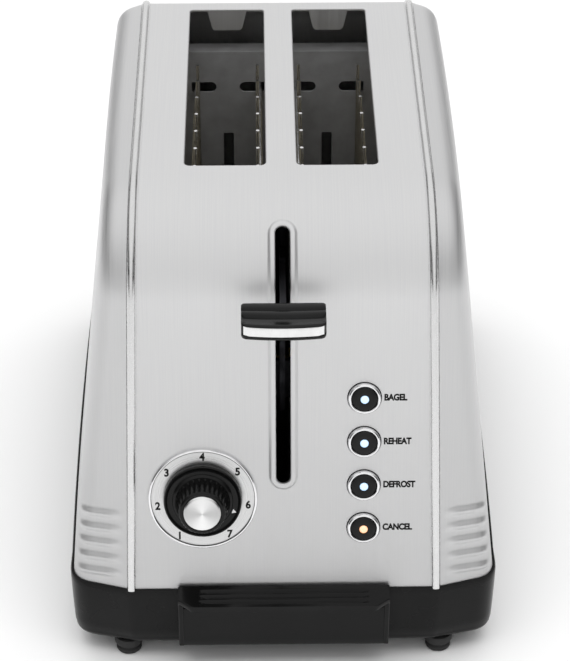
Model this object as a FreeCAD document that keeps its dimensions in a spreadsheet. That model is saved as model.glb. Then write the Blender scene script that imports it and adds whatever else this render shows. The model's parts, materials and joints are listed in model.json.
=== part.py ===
"""Two-slice pop-up toaster, built as an assembly of separate pieces, in millimetres.

The frame is +Z up, with the origin on the surface the toaster stands on, under its centre.
The controls face -Y, and the two bread slots run along Y. A cabinet of brushed sheet steel
(a wrap over front, top and back, and two side panels) stands on a moulded base. Inside are
two end plates, the heating boards, the bread guards and the lifting carriage.
"""
import FreeCAD, Part

import math
import os
import re

from FreeCAD import Placement, Rotation, Vector

X, Y, Z = Vector(1, 0, 0), Vector(0, 1, 0), Vector(0, 0, 1)

doc = FreeCAD.newDocument("toaster")
sheet = doc.addObject("Spreadsheet::Sheet", "dims")

# Driving dimensions, in millimetres and degrees: alias, value, meaning.
DIMENSIONS = [
    ("height", 212, "top of the cabinet above the surface it stands on"),
    ("skirt_top", 41, "lower edge of the metal cabinet"),
    ("foot_height", 8, "rubber foot, up to the underside of the base"),
    ("top_half", 80, "flat top, from the middle of the slots to its front end"),
    ("top_back", 75, "flat top, from the middle of the slots to its back end"),
    ("shoulder", 46, "radius of the shoulder between top and front"),
    ("back_shoulder", 22, "radius of the shoulder between top and back"),
    ("lean", 12, "backward lean of the front, in degrees from vertical"),
    ("skin", 1, "thickness of the cabinet sheet"),
    ("seam_top", 63.3, "half the width of the wrap at the top"),
    ("seam_foot", 67.4, "half the width of the wrap at its lower edge"),
    ("bead_width", 4, "width of the rolled bead along each seam"),
    ("bead_rise", 1.5, "height of the bead above the sheet"),
    ("side_ground", 100.5, "half width of the side plane where it would meet the ground"),
    ("side_peak", 77, "half width of the side plane at the height of the top"),
    ("side_bow", 3.5, "outward bow of each side over its length"),
    ("edge_round", 16, "radius where a side panel turns to front and top"),
    ("base_half", 98.5, "half width of the moulded base at the middle"),
    ("base_wall", 2.5, "wall of the moulded base"),
    ("slot_length", 148, "bread slot, along the toaster"),
    ("slot_width", 35, "bread slot, across the toaster"),
    ("slot_offset", 24.3, "middle of each slot from the middle of the toaster"),
    ("plate_inner", 75.5, "inner face of each end plate from the middle"),
    ("plate_thick", 0.8, "sheet of the end plates"),
    ("plate_top", 200, "top edge of the front end plate"),
    ("rear_plate_top", 188, "top edge of the rear end plate"),
    ("rack_rest", 116, "top of the bread racks at rest"),
    ("lever_travel", 72, "downward travel of the lever"),
    ("lever_lift", 14, "extra upward travel that lifts small items"),
    ("lever_level", 182, "height of the lever blade at rest"),
    ("lever_slit", 6.2, "width of the slit that the lever runs in"),
    ("slit_low", 92, "lower end of the lever slit"),
    ("slit_high", 202, "upper end of the lever slit"),
    ("knob_half", 17.6, "half width of the lever handle"),
    ("knob_back", 142.5, "back of the lever handle from the middle"),
    ("knob_depth", 17.5, "depth of the lever handle"),
    ("knob_thick", 8, "thickness of the lever handle"),
    ("dial_side", -35.2, "dial position across the front"),
    ("dial_up", 85, "dial position above the ground"),
    ("dial_seat", 13.4, "radius of the hole for the dial shaft bush"),
    ("button_side", 35, "column of buttons across the front"),
    ("button_first", 70.5, "lowest button above the ground"),
    ("button_pitch", 20.2, "spacing of the buttons up the front, along Z"),
    ("button_radius", 7.1, "outside of a button's bright ring"),
    ("tray_half", 44, "half width of the crumb tray"),
    ("foot_side", 70.2, "feet across the toaster"),
    ("foot_front", 144, "front feet from the middle of the slots"),
    ("foot_back", 116, "rear feet from the middle of the slots"),
    ("foot_radius", 6.5, "rubber foot"),
    ("rod_along", 92, "carriage guide rod in front of the middle"),
]
for row, (alias, value, meaning) in enumerate(DIMENSIONS, start=1):
    sheet.set(f"A{row}", alias)
    sheet.set(f"B{row}", str(value))
    sheet.set(f"C{row}", meaning)
    sheet.setAlias(f"B{row}", alias)
doc.recompute()


def dim(alias):
    """The value of one driving dimension."""
    return float(sheet.get(alias))


PIECES = []


def piece(obj, label):
    """Names a finished sub-part; its label names its file."""
    obj.Label = label
    PIECES.append(obj)
    return obj


def bound(value):
    """An expression on the sheet: each alias gains the sheet's name."""
    aliases = {alias for alias, _, _ in DIMENSIONS}
    return re.sub(
        r"[a-z_]+",
        lambda word: "dims." + word.group() if word.group() in aliases else word.group(),
        str(value),
    )


def drive(obj, **sizes):
    """Binds properties of an object to expressions on the sheet."""
    for name, value in sizes.items():
        obj.setExpression(name.replace("__", "."), bound(value))


def box(name, size, at):
    """A Part box whose size and lowest corner are expressions."""
    obj = doc.addObject("Part::Box", name)
    drive(obj, Length=size[0], Width=size[1], Height=size[2])
    drive(obj, Placement__Base__x=at[0], Placement__Base__y=at[1], Placement__Base__z=at[2])
    return obj


def centred(name, size, at):
    """A box centred on x = at[0] and y = at[1], standing on z = at[2]."""
    corner = (f"({at[0]}) - ({size[0]})/2", f"({at[1]}) - ({size[1]})/2", at[2])
    return box(name, size, corner)


def rod(name, radius, length, at, along=Z):
    """A Part cylinder starting at a point and running along a direction."""
    obj = doc.addObject("Part::Cylinder", name)
    drive(obj, Radius=radius, Height=length)
    obj.Placement = Placement(Vector(), Rotation(Z, along))
    drive(obj, Placement__Base__x=at[0], Placement__Base__y=at[1], Placement__Base__z=at[2])
    return obj


def fuse(name, parts):
    """One solid from several that touch or overlap."""
    obj = doc.addObject("Part::MultiFuse", name)
    obj.Shapes = parts
    obj.Refine = True
    return obj


def cut(name, base, tools):
    """A solid less one or more tools."""
    obj = doc.addObject("Part::Cut", name)
    obj.Base = base
    obj.Tool = tools[0] if len(tools) == 1 else fuse(name + "_tools", tools)
    obj.Refine = True
    return obj


def group(name, parts):
    """Several separate solids that share one node."""
    obj = doc.addObject("Part::Compound", name)
    obj.Links = parts
    return obj


def shaped(name, shape):
    """A Part::Feature for a shape that no feature or primitive gives."""
    obj = doc.addObject("Part::Feature", name)
    obj.Shape = shape
    return obj


def end_y(z, flat, radius, proud):
    """Distance from the middle of the slots to a leaning end's outer face at a height."""
    lean = math.radians(dim("lean"))
    tangent_z = dim("height") - radius * (1 - math.sin(lean))
    tangent_y = flat + radius * math.cos(lean)
    return tangent_y + (tangent_z - z) * math.tan(lean) + proud / math.cos(lean)


def front_y(z, proud=0.0):
    """Y of the leaning front's outer face at a height, moved out by a distance."""
    return -end_y(z, dim("top_half"), dim("shoulder"), proud)


def back_y(z, proud=0.0):
    """Y of the leaning back's outer face at a height, moved out by a distance."""
    return end_y(z, dim("top_back"), dim("back_shoulder"), proud)


def on_front(x, z, proud=0.0):
    """Placement on the front: local +Z points out of the face, local +Y up along it."""
    lean = dim("lean")
    out = Vector(0, -math.cos(math.radians(lean)), math.sin(math.radians(lean)))
    return Placement(Vector(x, front_y(z), z) + out * proud, Rotation(X, 90 - lean))


# ---------------------------------------------------------------- cabinet of sheet steel

WIDE = 130  # half width of a cutting prism, wider than the toaster


def side_prism(grow, low):
    """The cabinet's side outline, grown outwards, as a prism across the toaster."""
    lean = math.radians(dim("lean"))
    half = (math.pi / 2 + lean) / 2
    ends = (
        (-1, dim("top_half"), dim("shoulder"), front_y(low, grow)),
        (1, dim("top_back"), dim("back_shoulder"), back_y(low, grow)),
    )
    edges, tops = [], []
    for way, flat, bend, foot in ends:
        radius, centre_z = bend + grow, dim("height") - bend
        start = Vector(-WIDE, way * (flat + radius * math.cos(lean)), centre_z + radius * math.sin(lean))
        middle = Vector(-WIDE, way * (flat + radius * math.cos(half)), centre_z + radius * math.sin(half))
        end = Vector(-WIDE, way * flat, centre_z + radius)
        edges.append(Part.LineSegment(Vector(-WIDE, foot, low), start).toShape())
        edges.append(Part.Arc(start, middle, end).toShape())
        tops.append(end)
    edges.append(Part.LineSegment(tops[0], tops[1]).toShape())
    edges.append(Part.LineSegment(Vector(-WIDE, ends[0][3], low), Vector(-WIDE, ends[1][3], low)).toShape())
    outline = Part.Wire(Part.__sortEdges__(edges))
    return Part.Face(outline).extrude(Vector(2 * WIDE, 0, 0))


def bowed_wire(half_middle, half_end, front, back, z):
    """A rectangle in plan whose two long sides bow outwards."""
    corner = [Vector(sx * half_end, y, z) for sx, y in ((1, front), (1, back), (-1, back), (-1, front))]
    return Part.Wire([
        Part.Arc(corner[0], Vector(half_middle, 0, z), corner[1]).toShape(),
        Part.LineSegment(corner[1], corner[2]).toShape(),
        Part.Arc(corner[2], Vector(-half_middle, 0, z), corner[3]).toShape(),
        Part.LineSegment(corner[3], corner[0]).toShape(),
    ])


def side_block(grow):
    """The space between the two bowed, inward-leaning side planes."""
    reach, peak = 175, dim("height") + 10
    slope = (dim("side_peak") - dim("side_ground")) / dim("height")
    wires = []
    for z in (0, peak):
        half = dim("side_ground") + slope * z + grow
        wires.append(bowed_wire(half, half - dim("side_bow"), -reach, reach, z))
    return Part.makeLoft(wires, True, True)


def cabinet(grow, low):
    """The whole cabinet as a solid, rounded where the sides meet front, top and back."""
    raw = side_prism(grow, low).common(side_block(grow))
    edges = [
        edge for edge in raw.Edges
        if min(abs(v.Point.x) for v in edge.Vertexes) > 40
        and max(v.Point.z for v in edge.Vertexes) > low + 1
        and min(v.Point.x for v in edge.Vertexes) * max(v.Point.x for v in edge.Vertexes) > 0
    ]
    return raw.makeFillet(dim("edge_round") + grow, edges)


def seam_block(offset):
    """The space between the two seams, moved outwards; it widens towards the ground."""
    top, foot = dim("height") + 5, dim("skirt_top") - 20
    slope = (dim("seam_top") - dim("seam_foot")) / (dim("height") - dim("skirt_top"))
    points = []
    for z in (foot, top):
        half = dim("seam_foot") + slope * (z - dim("skirt_top")) + offset
        points.append((half, z))
    (low_half, low), (top_half, high) = points
    corners = [Vector(-low_half, -200, low), Vector(low_half, -200, low),
               Vector(top_half, -200, high), Vector(-top_half, -200, high)]
    return Part.Face(Part.makePolygon(corners + corners[:1])).extrude(Vector(0, 400, 0))


def slot_cutter(way):
    """A bread slot with small corner rounds, cut down through the top."""
    length, width = dim("slot_length"), dim("slot_width")
    block = Part.makeBox(width, length, 30, Vector(way * dim("slot_offset") - width / 2, -length / 2, 195))
    return block.makeFillet(2.5, [e for e in block.Edges if abs(e.tangentAt(e.FirstParameter).z) > 0.9])


def slit_cutter(width, margin):
    """A stadium through the front, along the lever's travel."""
    low, high = dim("slit_low") - margin, dim("slit_high") + margin
    core = Part.makeBox(width, 90, high - low - width, Vector(-width / 2, -185, low + width / 2))
    ends = [Part.makeCylinder(width / 2, 90, Vector(0, -185, z), Y) for z in (low + width / 2, high - width / 2)]
    return core.fuse(ends)


def front_cutter(x, z, radius):
    """A round hole square to the leaning front."""
    drill = Part.makeCylinder(radius, 30, Vector(0, 0, -15))
    drill.Placement = on_front(x, z)
    return drill


def button_levels():
    """Heights of the four buttons, from the lowest up."""
    return [dim("button_first") + n * dim("button_pitch") for n in range(4)]


def make_wrap():
    """Front, top and back in one bent sheet, with a rolled bead along each seam."""
    low, skin, half_bead = dim("skirt_top"), dim("skin"), dim("bead_width") / 2
    hollow = side_prism(-skin, low - 10)
    band = side_prism(0, low).cut(hollow).common(seam_block(0))
    rolled = side_prism(dim("bead_rise"), low).cut(side_prism(-3 * skin, low - 10))
    rolled = rolled.common(seam_block(half_bead).cut(seam_block(-half_bead)))
    rim = side_prism(0.8, low).cut(hollow)
    rim = rim.common(slit_cutter(13, 3.4))
    sheet_metal = band.fuse([rolled, rim])
    holes = [slot_cutter(-1), slot_cutter(1), slit_cutter(dim("lever_slit"), 0)]
    holes += [front_cutter(dim("button_side"), z, dim("button_radius") + 0.3) for z in button_levels()]
    holes.append(front_cutter(dim("dial_side"), dim("dial_up"), dim("dial_seat")))
    sheet_metal = sheet_metal.cut(holes)
    tabs = []
    for way in (-1, 1):
        for end in (-1, 1):
            y = end * dim("slot_length") / 2
            x = way * dim("slot_offset")
            corners = [Vector(x - 9.5, y, 211.5), Vector(x + 9.5, y, 211.5), Vector(x + 7, y, 200.5), Vector(x - 7, y, 200.5)]
            tabs.append(Part.Face(Part.makePolygon(corners + corners[:1])).extrude(Vector(0, end * 0.8, 0)))
    return sheet_metal.fuse(tabs).removeSplitter()


def make_side(way):
    """A side panel, rounded into the front, the top and the back."""
    low, skin = dim("skirt_top"), dim("skin")
    panel = cabinet(0, low).cut(cabinet(-skin, low - 10))
    panel = panel.cut(seam_block(dim("bead_width") / 2 + 0.05))
    keep = Part.makeBox(200, 500, 400, Vector(0 if way > 0 else -200, -250, -50))
    return panel.common(keep)


piece(shaped("Wrap", make_wrap()), "cabinet_wrap")
piece(shaped("SideLeft", make_side(-1)), "side_panel_left")
piece(shaped("SideRight", make_side(1)), "side_panel_right")


# ---------------------------------------------------------------- moulded base and feet

def base_block(grow, low, high):
    """A plug of the base's plan, with rounded corners."""
    front = front_y(dim("skirt_top")) - 0.6 - grow
    back = back_y(dim("skirt_top")) + 0.6 + grow
    half = dim("base_half") + grow
    wire = bowed_wire(half, half - dim("side_bow"), front, back, low)
    block = Part.Face(wire).extrude(Vector(0, 0, high - low))
    upright = [e for e in block.Edges if abs(e.tangentAt(e.FirstParameter).z) > 0.9]
    return block.makeFillet(dim("edge_round") + 2 + grow, upright)


TRAY_FLOOR = 12.0   # underside of the crumb tray


def make_base():
    """The moulded base: a dish with a ledge for the cabinet and a mouth for the tray."""
    low, top, wall = dim("foot_height"), dim("skirt_top"), dim("base_wall")
    dish = base_block(0, low, top)
    under = [e for e in dish.Edges if max(v.Point.z for v in e.Vertexes) < low + 0.01]
    dish = dish.makeFillet(5, under)
    dish = dish.cut(base_block(-wall, low + wall, top + 5))
    lip = base_block(0, top, top + 3).cut(base_block(-1.1, top - 1, top + 5))
    front_gap = Part.makeBox(2 * 76, 400, 10, Vector(-76, -200, top))
    dish = dish.fuse(lip.cut([front_gap, cabinet(0.05, top)]))
    mouth_half = dim("tray_half") + 1.5
    mouth = Part.makeBox(2 * mouth_half, 20, 16, Vector(-mouth_half, front_y(top) - 5, TRAY_FLOOR - 1))
    dish = dish.cut(mouth)
    rails = []
    for way in (-1, 1):
        for x in (way * (dim("tray_half") + 2.2), way * 62.0):
            rails.append(Part.makeBox(1.6, 250, 16, Vector(x - 0.8, -125, low + wall)))
    vents = [Part.makeBox(5, 60, 10, Vector(x - 2.5, y, 5)) for x in (-30, -15, 0, 15, 30) for y in (-90, 20)]
    return dish.fuse(rails).cut(vents).removeSplitter()


piece(shaped("Base", make_base()), "base_moulding")


def foot_body(label, x_way, along):
    """One rubber foot, turned, with a waist above the rounded pad."""
    body = doc.addObject("PartDesign::Body", label)
    sketch = body.newObject("Sketcher::SketchObject", label + "_outline")
    plane = next(f for f in body.Origin.OriginFeatures if f.Role == "XZ_Plane")
    sketch.AttachmentSupport = (plane, [""])
    sketch.MapMode = "FlatFace"
    radius, tall = dim("foot_radius"), dim("foot_height")
    points = [(0, 0), (radius - 2.2, 0), (radius - 0.9, 1.4), (radius - 0.9, 2.2), (radius, 3.4), (radius, tall), (0, tall)]
    for (x0, y0), (x1, y1) in zip(points, points[1:] + points[:1]):
        sketch.addGeometry(Part.LineSegment(Vector(x0, y0, 0), Vector(x1, y1, 0)))
    turned = body.newObject("PartDesign::Revolution", label + "_turned")
    turned.Profile = sketch
    turned.ReferenceAxis = (sketch, ["V_Axis"])
    turned.Angle = 360
    drive(body, Placement__Base__x=f"{x_way} * foot_side", Placement__Base__y=along)
    return piece(body, label)


for fore, along in (("front", "0 - foot_front"), ("rear", "foot_back")):
    for hand, x_way in (("left", -1), ("right", 1)):
        foot_body(f"foot_{fore}_{hand}", x_way, along)


# ---------------------------------------------------------------- end plates and liners

PLATE_LOW = 26.5     # the end plates stand on the base's rails
PLATE_HALF = 60      # half width of an end plate
SHELF_LOW = 21.6     # underside of the front plate's lower shelf, clear of the crumb tray
GUARD_REST = 15.5    # bread guard from the middle of its slot, at rest
GUARD_RAILS = (56, 168.75)  # heights of the two rails of each guard
RAIL_RADIUS = 1.0
ROD_RADIUS = 3.0


def end_plate(name, y_way):
    """An end plate with its top flange, rack slits and guard slots."""
    y = f"{y_way} * (plate_inner + plate_thick/2)"
    top = "plate_top" if y_way < 0 else "rear_plate_top"
    plate = centred(name + "_sheet", (2 * PLATE_HALF, "plate_thick", f"{top} - {PLATE_LOW}"), (0, y, PLATE_LOW))
    flange = centred(
        name + "_flange", (2 * PLATE_HALF, 9, "plate_thick"),
        (0, f"{y_way} * (plate_inner + 4.5)", f"{top} - plate_thick"),
    )
    slits = []
    for way in (-1, 1):
        middle = f"{way} * slot_offset"
        slit_tall = "lever_travel + lever_lift + 23"
        slit_low = "rack_rest - lever_travel - 10"
        slits.append(centred(f"{name}_rack_slit_{way}", (5, 12, slit_tall), (middle, y, slit_low)))
        for level, rail_z in enumerate(GUARD_RAILS):
            for side in (-1, 1):
                x = f"{middle} + {side} * 13.1"
                slot = centred(f"{name}_guard_slot_{way}_{level}_{side}", (9.4, 12, 5.5), (x, y, rail_z - 2.75))
                slits.append(slot)
                inner = f"{middle} + {side} * 8.4"
                end = rod(f"{name}_slot_end_{way}_{level}_{side}", 2.75, 12, (inner, f"({y}) + 6", rail_z), -Y)
                slits.append(end)
    solid = [plate, flange]
    if y_way < 0:
        for part, reach, wide, z in (("shelf", 6, 24, "plate_top - 2"), ("low_shelf", 10, 62, SHELF_LOW)):
            long = f"rod_along + {reach} - plate_inner"
            shelf_y = f"0 - (rod_along + {reach} + plate_inner)/2"
            solid.append(centred(f"{name}_{part}", (wide, long, 1.2), (0, shelf_y, z)))
        solid.append(centred(name + "_tongue", (64, "plate_thick", 6), (0, y, SHELF_LOW)))
        slits.append(rod(name + "_rod_hole", ROD_RADIUS, 200, (0, "0 - rod_along", SHELF_LOW - 5)))
    return cut(name, fuse(name + "_blank", solid), slits)


piece(end_plate("EndPlateFront", -1), "end_plate_front")
piece(end_plate("EndPlateRear", 1), "end_plate_rear")

for label, way in (("heat_liner_left", -1), ("heat_liner_right", 1)):
    liner = centred(label, (0.6, "2 * plate_inner", 160), (way * 57, 0, 32))
    piece(liner, label)


# ---------------------------------------------------------------- heating boards

BOARD_LOW, BOARD_TALL, BOARD_LONG = 46, 136, 149
WIRE_ROWS, WIRE_LONG = 12, 138


def heater_wire(name, faces):
    """A flat ribbon that runs to and fro over a board, on one or both faces."""
    parts = []
    pitch = (BOARD_TALL - 16) / (WIRE_ROWS - 1)
    for face, x in enumerate(faces):
        for n in range(WIRE_ROWS):
            z = BOARD_LOW + 8 + n * pitch
            parts.append(centred(f"{name}_row_{face}_{n}", (0.4, WIRE_LONG, 1.6), (x, 0, z)))
            if n + 1 < WIRE_ROWS:
                y = (WIRE_LONG / 2 - 0.8) * (-1) ** n
                parts.append(centred(f"{name}_turn_{face}_{n}", (0.4, 1.6, pitch), (x, y, z)))
    if len(faces) == 1:
        return fuse(name, parts)
    share = len(parts) // 2
    return group(name, [fuse(f"{name}_face_{n}", parts[n * share:(n + 1) * share]) for n in range(2)])


for label, x in (("left", -50), ("centre", 0), ("right", 50)):
    board = centred(f"heater_board_{label}", (1, BOARD_LONG, BOARD_TALL), (x, 0, BOARD_LOW))
    piece(board, f"heater_board_{label}")
    faces = (-0.7, 0.7) if x == 0 else (x - math.copysign(0.7, x),)
    piece(heater_wire(f"HeaterWire_{label}", faces), f"heater_wire_{label}")


# ---------------------------------------------------------------- bread guards

GUARD_WIRES, GUARD_PITCH = 9, 16


def guard(name, way, side):
    """A wire cage on one side of one slot: upright wires welded to two rails."""
    x = f"{way} * slot_offset + {side * GUARD_REST}"
    inner = f"{way} * slot_offset + {side * (GUARD_REST - 1.2)}"
    parts = []
    for n, z in enumerate(GUARD_RAILS):
        parts.append(rod(f"{name}_rail_{n}", RAIL_RADIUS, 160, (x, 80, z), -Y))
    for n in range(GUARD_WIRES):
        y = (n - (GUARD_WIRES - 1) / 2) * GUARD_PITCH
        parts.append(rod(f"{name}_wire_{n}", 0.8, 138, (inner, y, 49)))
    return fuse(name, parts)


for slot_name, way in (("left", -1), ("right", 1)):
    for side_name, side in (("outer", way), ("inner", -way)):
        label = f"bread_guard_{slot_name}_{side_name}"
        piece(guard(label.title(), way, side), label)


# ---------------------------------------------------------------- lifting carriage

BRACKET_LOW, BRACKET_TALL = 106, 20


def bread_rack(name, way):
    """The bar that carries the bread, with cross fins, through both end plates."""
    x = f"{way} * slot_offset"
    bar = box(name + "_bar", (2, 169, 6), (f"{x} - 1", -88, "rack_rest - 8"))
    fins = [
        centred(f"{name}_fin_{n}", (17, 1.2, 4), (x, (n - 4) * 16, "rack_rest - 4"))
        for n in range(9)
    ]
    return fuse(name, [bar] + fins)


piece(bread_rack("RackLeft", -1), "bread_rack_left")
piece(bread_rack("RackRight", 1), "bread_rack_right")

bracket_plate = box("BracketPlate", (64, 2, BRACKET_TALL), (-32, -90, BRACKET_LOW))
bracket_block = box("BracketBlock", (13, 8.5, BRACKET_TALL), (-6.5, -98.5, BRACKET_LOW))
bracket_bore = rod("BracketBore", 5, BRACKET_TALL + 2, (0, "0 - rod_along", BRACKET_LOW - 1))
bracket_ear = box("BracketEar", (6, 8, 2), (7, -98, BRACKET_LOW + BRACKET_TALL - 2))
piece(cut("Bracket", fuse("BracketBlank", [bracket_plate, bracket_block, bracket_ear]), [bracket_bore]), "carriage_bracket")

bush_outer = rod("BushOuter", 5, BRACKET_TALL, (0, "0 - rod_along", BRACKET_LOW))
bush_bore = rod("BushBore", ROD_RADIUS + 0.06, BRACKET_TALL + 2, (0, "0 - rod_along", BRACKET_LOW - 1))
piece(cut("Bush", bush_outer, [bush_bore]), "carriage_bush")

arm_upright = box("ArmUpright", (2.4, 9.5, f"lever_level + 4 - {BRACKET_LOW}"), (-1.2, -108, BRACKET_LOW))
arm_blade = box("ArmBlade", (2.4, "knob_back + 8 - 98.5", 5), (-1.2, "0 - knob_back - 8", "lever_level - 3"))
piece(fuse("LeverArm", [arm_upright, arm_blade]), "lever_arm")

piece(box("LatchPlate", (14, 10, 1.6), (14, -100, BRACKET_LOW)), "latch_plate")


def make_knob():
    """The lever handle: a slim block with a bowed front, and a seat for its bright strip."""
    half, depth, thick = dim("knob_half"), dim("knob_depth"), dim("knob_thick")
    back, low = -dim("knob_back"), dim("lever_level") - dim("knob_thick") / 2
    left, right = Vector(-half, back - depth + 1.5, low), Vector(half, back - depth + 1.5, low)
    front = Part.Arc(left, Vector(0, back - depth, low), right).toShape()
    rest = Part.makePolygon([right, Vector(half, back, low), Vector(-half, back, low), left])
    block = Part.Face(Part.Wire([front] + rest.Edges)).extrude(Vector(0, 0, thick))
    corners = [e for e in block.Edges if abs(e.tangentAt(e.FirstParameter).z) > 0.9]
    block = block.makeFillet(1.8, corners)
    seat = Part.makeBox(2 * half - 2.6, 6, 4.6, Vector(-half + 1.3, back - depth - 4.2, low + 2.2))
    socket = Part.makeBox(2.4, 8, 5, Vector(-1.2, back - 8, low + 1))
    return block.cut([seat, socket])


def make_knob_trim():
    """The bright strip set into the front of the lever handle."""
    half, depth = dim("knob_half"), dim("knob_depth")
    back, low = -dim("knob_back"), dim("lever_level") - dim("knob_thick") / 2 + 2.2
    left, right = Vector(-half + 1.3, back - depth + 1.8, low), Vector(half - 1.3, back - depth + 1.8, low)
    deep = back - depth + 1.8
    front = Part.Arc(left, Vector(0, back - depth - 0.3, low), right).toShape()
    rest = Part.makeLine(right, left)
    strip = Part.Face(Part.Wire([front, rest])).extrude(Vector(0, 0, 4.6))
    return strip.common(Part.makeBox(2 * half - 2.6, 6, 4.6, Vector(-half + 1.3, deep - 6, low)))


piece(shaped("KnobShape", make_knob()), "lever_handle")
piece(shaped("KnobTrim", make_knob_trim()), "lever_trim")


# ---------------------------------------------------------------- fixed mechanism

rod_long = f"plate_top - {SHELF_LOW} - 0.4"
piece(rod("GuideRod", ROD_RADIUS, rod_long, (0, "0 - rod_along", SHELF_LOW - 0.2)), "guide_rod")


def make_spring():
    """The extension spring that lifts the carriage, beside the guide rod."""
    low, top, wire, radius, turns = 126.2, 197.8, 0.45, 2.6, 26
    helix = Part.makeHelix((top - low - 2 * wire) / turns, top - low - 2 * wire, radius)
    start = helix.Vertexes[0].Point
    ring = Part.Wire([Part.makeCircle(wire, start, helix.Edges[0].tangentAt(helix.Edges[0].FirstParameter))])
    coil = Part.Wire(helix.Edges).makePipeShell([ring], True, True)
    coil.Placement = Placement(Vector(9.5, -94.5, low + wire), Rotation())
    return coil


piece(shaped("Spring", make_spring()), "lift_spring")

MAGNET_LOW, MAGNET_TALL = SHELF_LOW + 1.2, 10.6

magnet_core = fuse("MagnetCore", [
    box("MagnetYoke", (16, 12, 2), (13, -101, MAGNET_LOW)),
    box("MagnetLimbA", (2.5, 12, MAGNET_TALL), (13, -101, MAGNET_LOW)),
    box("MagnetLimbB", (2.5, 12, MAGNET_TALL), (26.5, -101, MAGNET_LOW)),
    box("MagnetPole", (4, 8, MAGNET_TALL), (19, -99, MAGNET_LOW)),
])
piece(magnet_core, "magnet_core")
coil_form = box("CoilForm", (10, 11, 7.6), (16, -100.5, MAGNET_LOW + 2.2))
piece(cut("MagnetCoil", coil_form, [box("CoilBore", (4, 8, 20), (19, -99, MAGNET_LOW))]), "magnet_coil")


# ---------------------------------------------------------------- browning dial

def turned_on_front(x, z, profile):
    """A turned solid on the front: profile points are (radius, distance out of the face)."""
    points = [Vector(radius, 0, out) for radius, out in profile]
    face = Part.Face(Part.makePolygon(points + points[:1]))
    solid = face.revolve(Vector(), Z, 360)
    solid.Placement = on_front(x, z)
    return solid


def on_dial(profile):
    """A turned solid about the dial's axis."""
    return turned_on_front(dim("dial_side"), dim("dial_up"), profile)


def block_on_front(x, z, width, tall, back, front):
    """A block square to the front, between two distances out of the face."""
    block = Part.makeBox(width, tall, front - back, Vector(-width / 2, -tall / 2, back))
    block.Placement = on_front(x, z)
    return block


FLUTES = 28


def make_dial_knob():
    """The knob: a plain skirt and a tapering grip with flutes round it."""
    skirt = [(3, 1.4), (17, 1.4), (17, 3.4), (16.2, 4.4), (11.9, 4.8)]
    grip = [(10.1, 14.6), (8.1, 15.4), (8.1, 14.4), (0, 14.4), (0, 10), (3, 10)]
    knob = on_dial(skirt + grip)
    seat = on_front(dim("dial_side"), dim("dial_up"))
    grooves = []
    for n in range(FLUTES):
        turn = 2 * math.pi * n / FLUTES
        foot = Vector(12.25 * math.cos(turn), 12.25 * math.sin(turn), 5.4)
        head = Vector(10.35 * math.cos(turn), 10.35 * math.sin(turn), 16)
        groove = Part.makeCylinder(0.55, (head - foot).Length, foot, head - foot)
        groove.Placement = seat.multiply(groove.Placement)
        grooves.append(groove)
    return knob.cut(grooves)


piece(shaped("DialBezel", on_dial([(22.5, 0), (23.9, 0), (23.6, 1.5), (22.8, 1.5)])), "dial_bezel")
piece(shaped("DialScale", on_dial([(13.6, 0), (22.5, 0), (22.5, 0.7), (13.6, 0.7)])), "dial_scale")
bush = on_dial([(3.06, -9), (3.06, 0.6), (5.5, 0.6), (5.5, -1), (16.5, -1), (16.5, -2.6), (9, -2.6), (9, -9)])
piece(shaped("DialSwitch", bush), "dial_switch")
piece(shaped("DialKnob", make_dial_knob()), "dial_knob")
piece(shaped("DialCap", on_dial([(0, 14.4), (8.1, 14.4), (8.1, 15.4), (7.4, 16), (0, 16.2)])), "dial_cap")
piece(shaped("DialShaft", on_dial([(0, -9), (3, -9), (3, 10), (0, 10)])), "dial_shaft")


# ---------------------------------------------------------------- push buttons

BUTTON_NAMES = ("cancel", "defrost", "reheat", "bagel")
RING_INNER, FLANGE_RADIUS, STEM_RADIUS = 5.6, 8.6, 4.2
LENS_RADIUS = 1.7
STEM_END, SWITCH_TOP, BOARD_FACE = -6.8, -8.6, -12.2
FRAME_FACE, FRAME_BACK = -4.2, -6.0

for label, z in zip(BUTTON_NAMES, button_levels()):
    x = dim("button_side")
    cap = turned_on_front(x, z, [
        (0, STEM_END), (STEM_RADIUS, STEM_END), (STEM_RADIUS, -2.4), (FLANGE_RADIUS, -2.4),
        (FLANGE_RADIUS, -1.2), (RING_INNER, -1.2), (RING_INNER, 1.4), (5.0, 1.9), (LENS_RADIUS, 2.1),
        (LENS_RADIUS, 1.4), (0, 1.4),
    ])
    piece(shaped(f"Cap_{label}", cap), f"button_{label}")
    ring = turned_on_front(x, z, [
        (RING_INNER, -1.2), (dim("button_radius"), -1.2), (dim("button_radius"), 1.3),
        (6.5, 1.9), (RING_INNER, 1.4),
    ])
    piece(shaped(f"Ring_{label}", ring), f"ring_{label}")
    lens = turned_on_front(x, z, [(0, 1.4), (LENS_RADIUS, 1.4), (LENS_RADIUS, 2.1), (1.1, 2.45), (0, 2.5)])
    piece(shaped(f"Lens_{label}", lens), f"lens_{label}")

middle_z = sum(button_levels()) / 4
frame_x, frame_wide, frame_tall = dim("button_side"), 25, 90
button_frame = block_on_front(frame_x, middle_z, frame_wide, frame_tall, BOARD_FACE, -dim("skin"))
chambers = [block_on_front(frame_x, middle_z, frame_wide - 3.2, frame_tall - 3.2, FRAME_FACE, 0)]
chambers.append(block_on_front(frame_x, middle_z, frame_wide - 3.2, frame_tall - 3.2, BOARD_FACE - 1, FRAME_BACK))
for z in button_levels():
    chambers.append(turned_on_front(frame_x, z, [(0, -8), (STEM_RADIUS + 0.3, -8), (STEM_RADIUS + 0.3, -3), (0, -3)]))
piece(shaped("ButtonFrame", button_frame.cut(chambers)), "button_frame")

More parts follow.
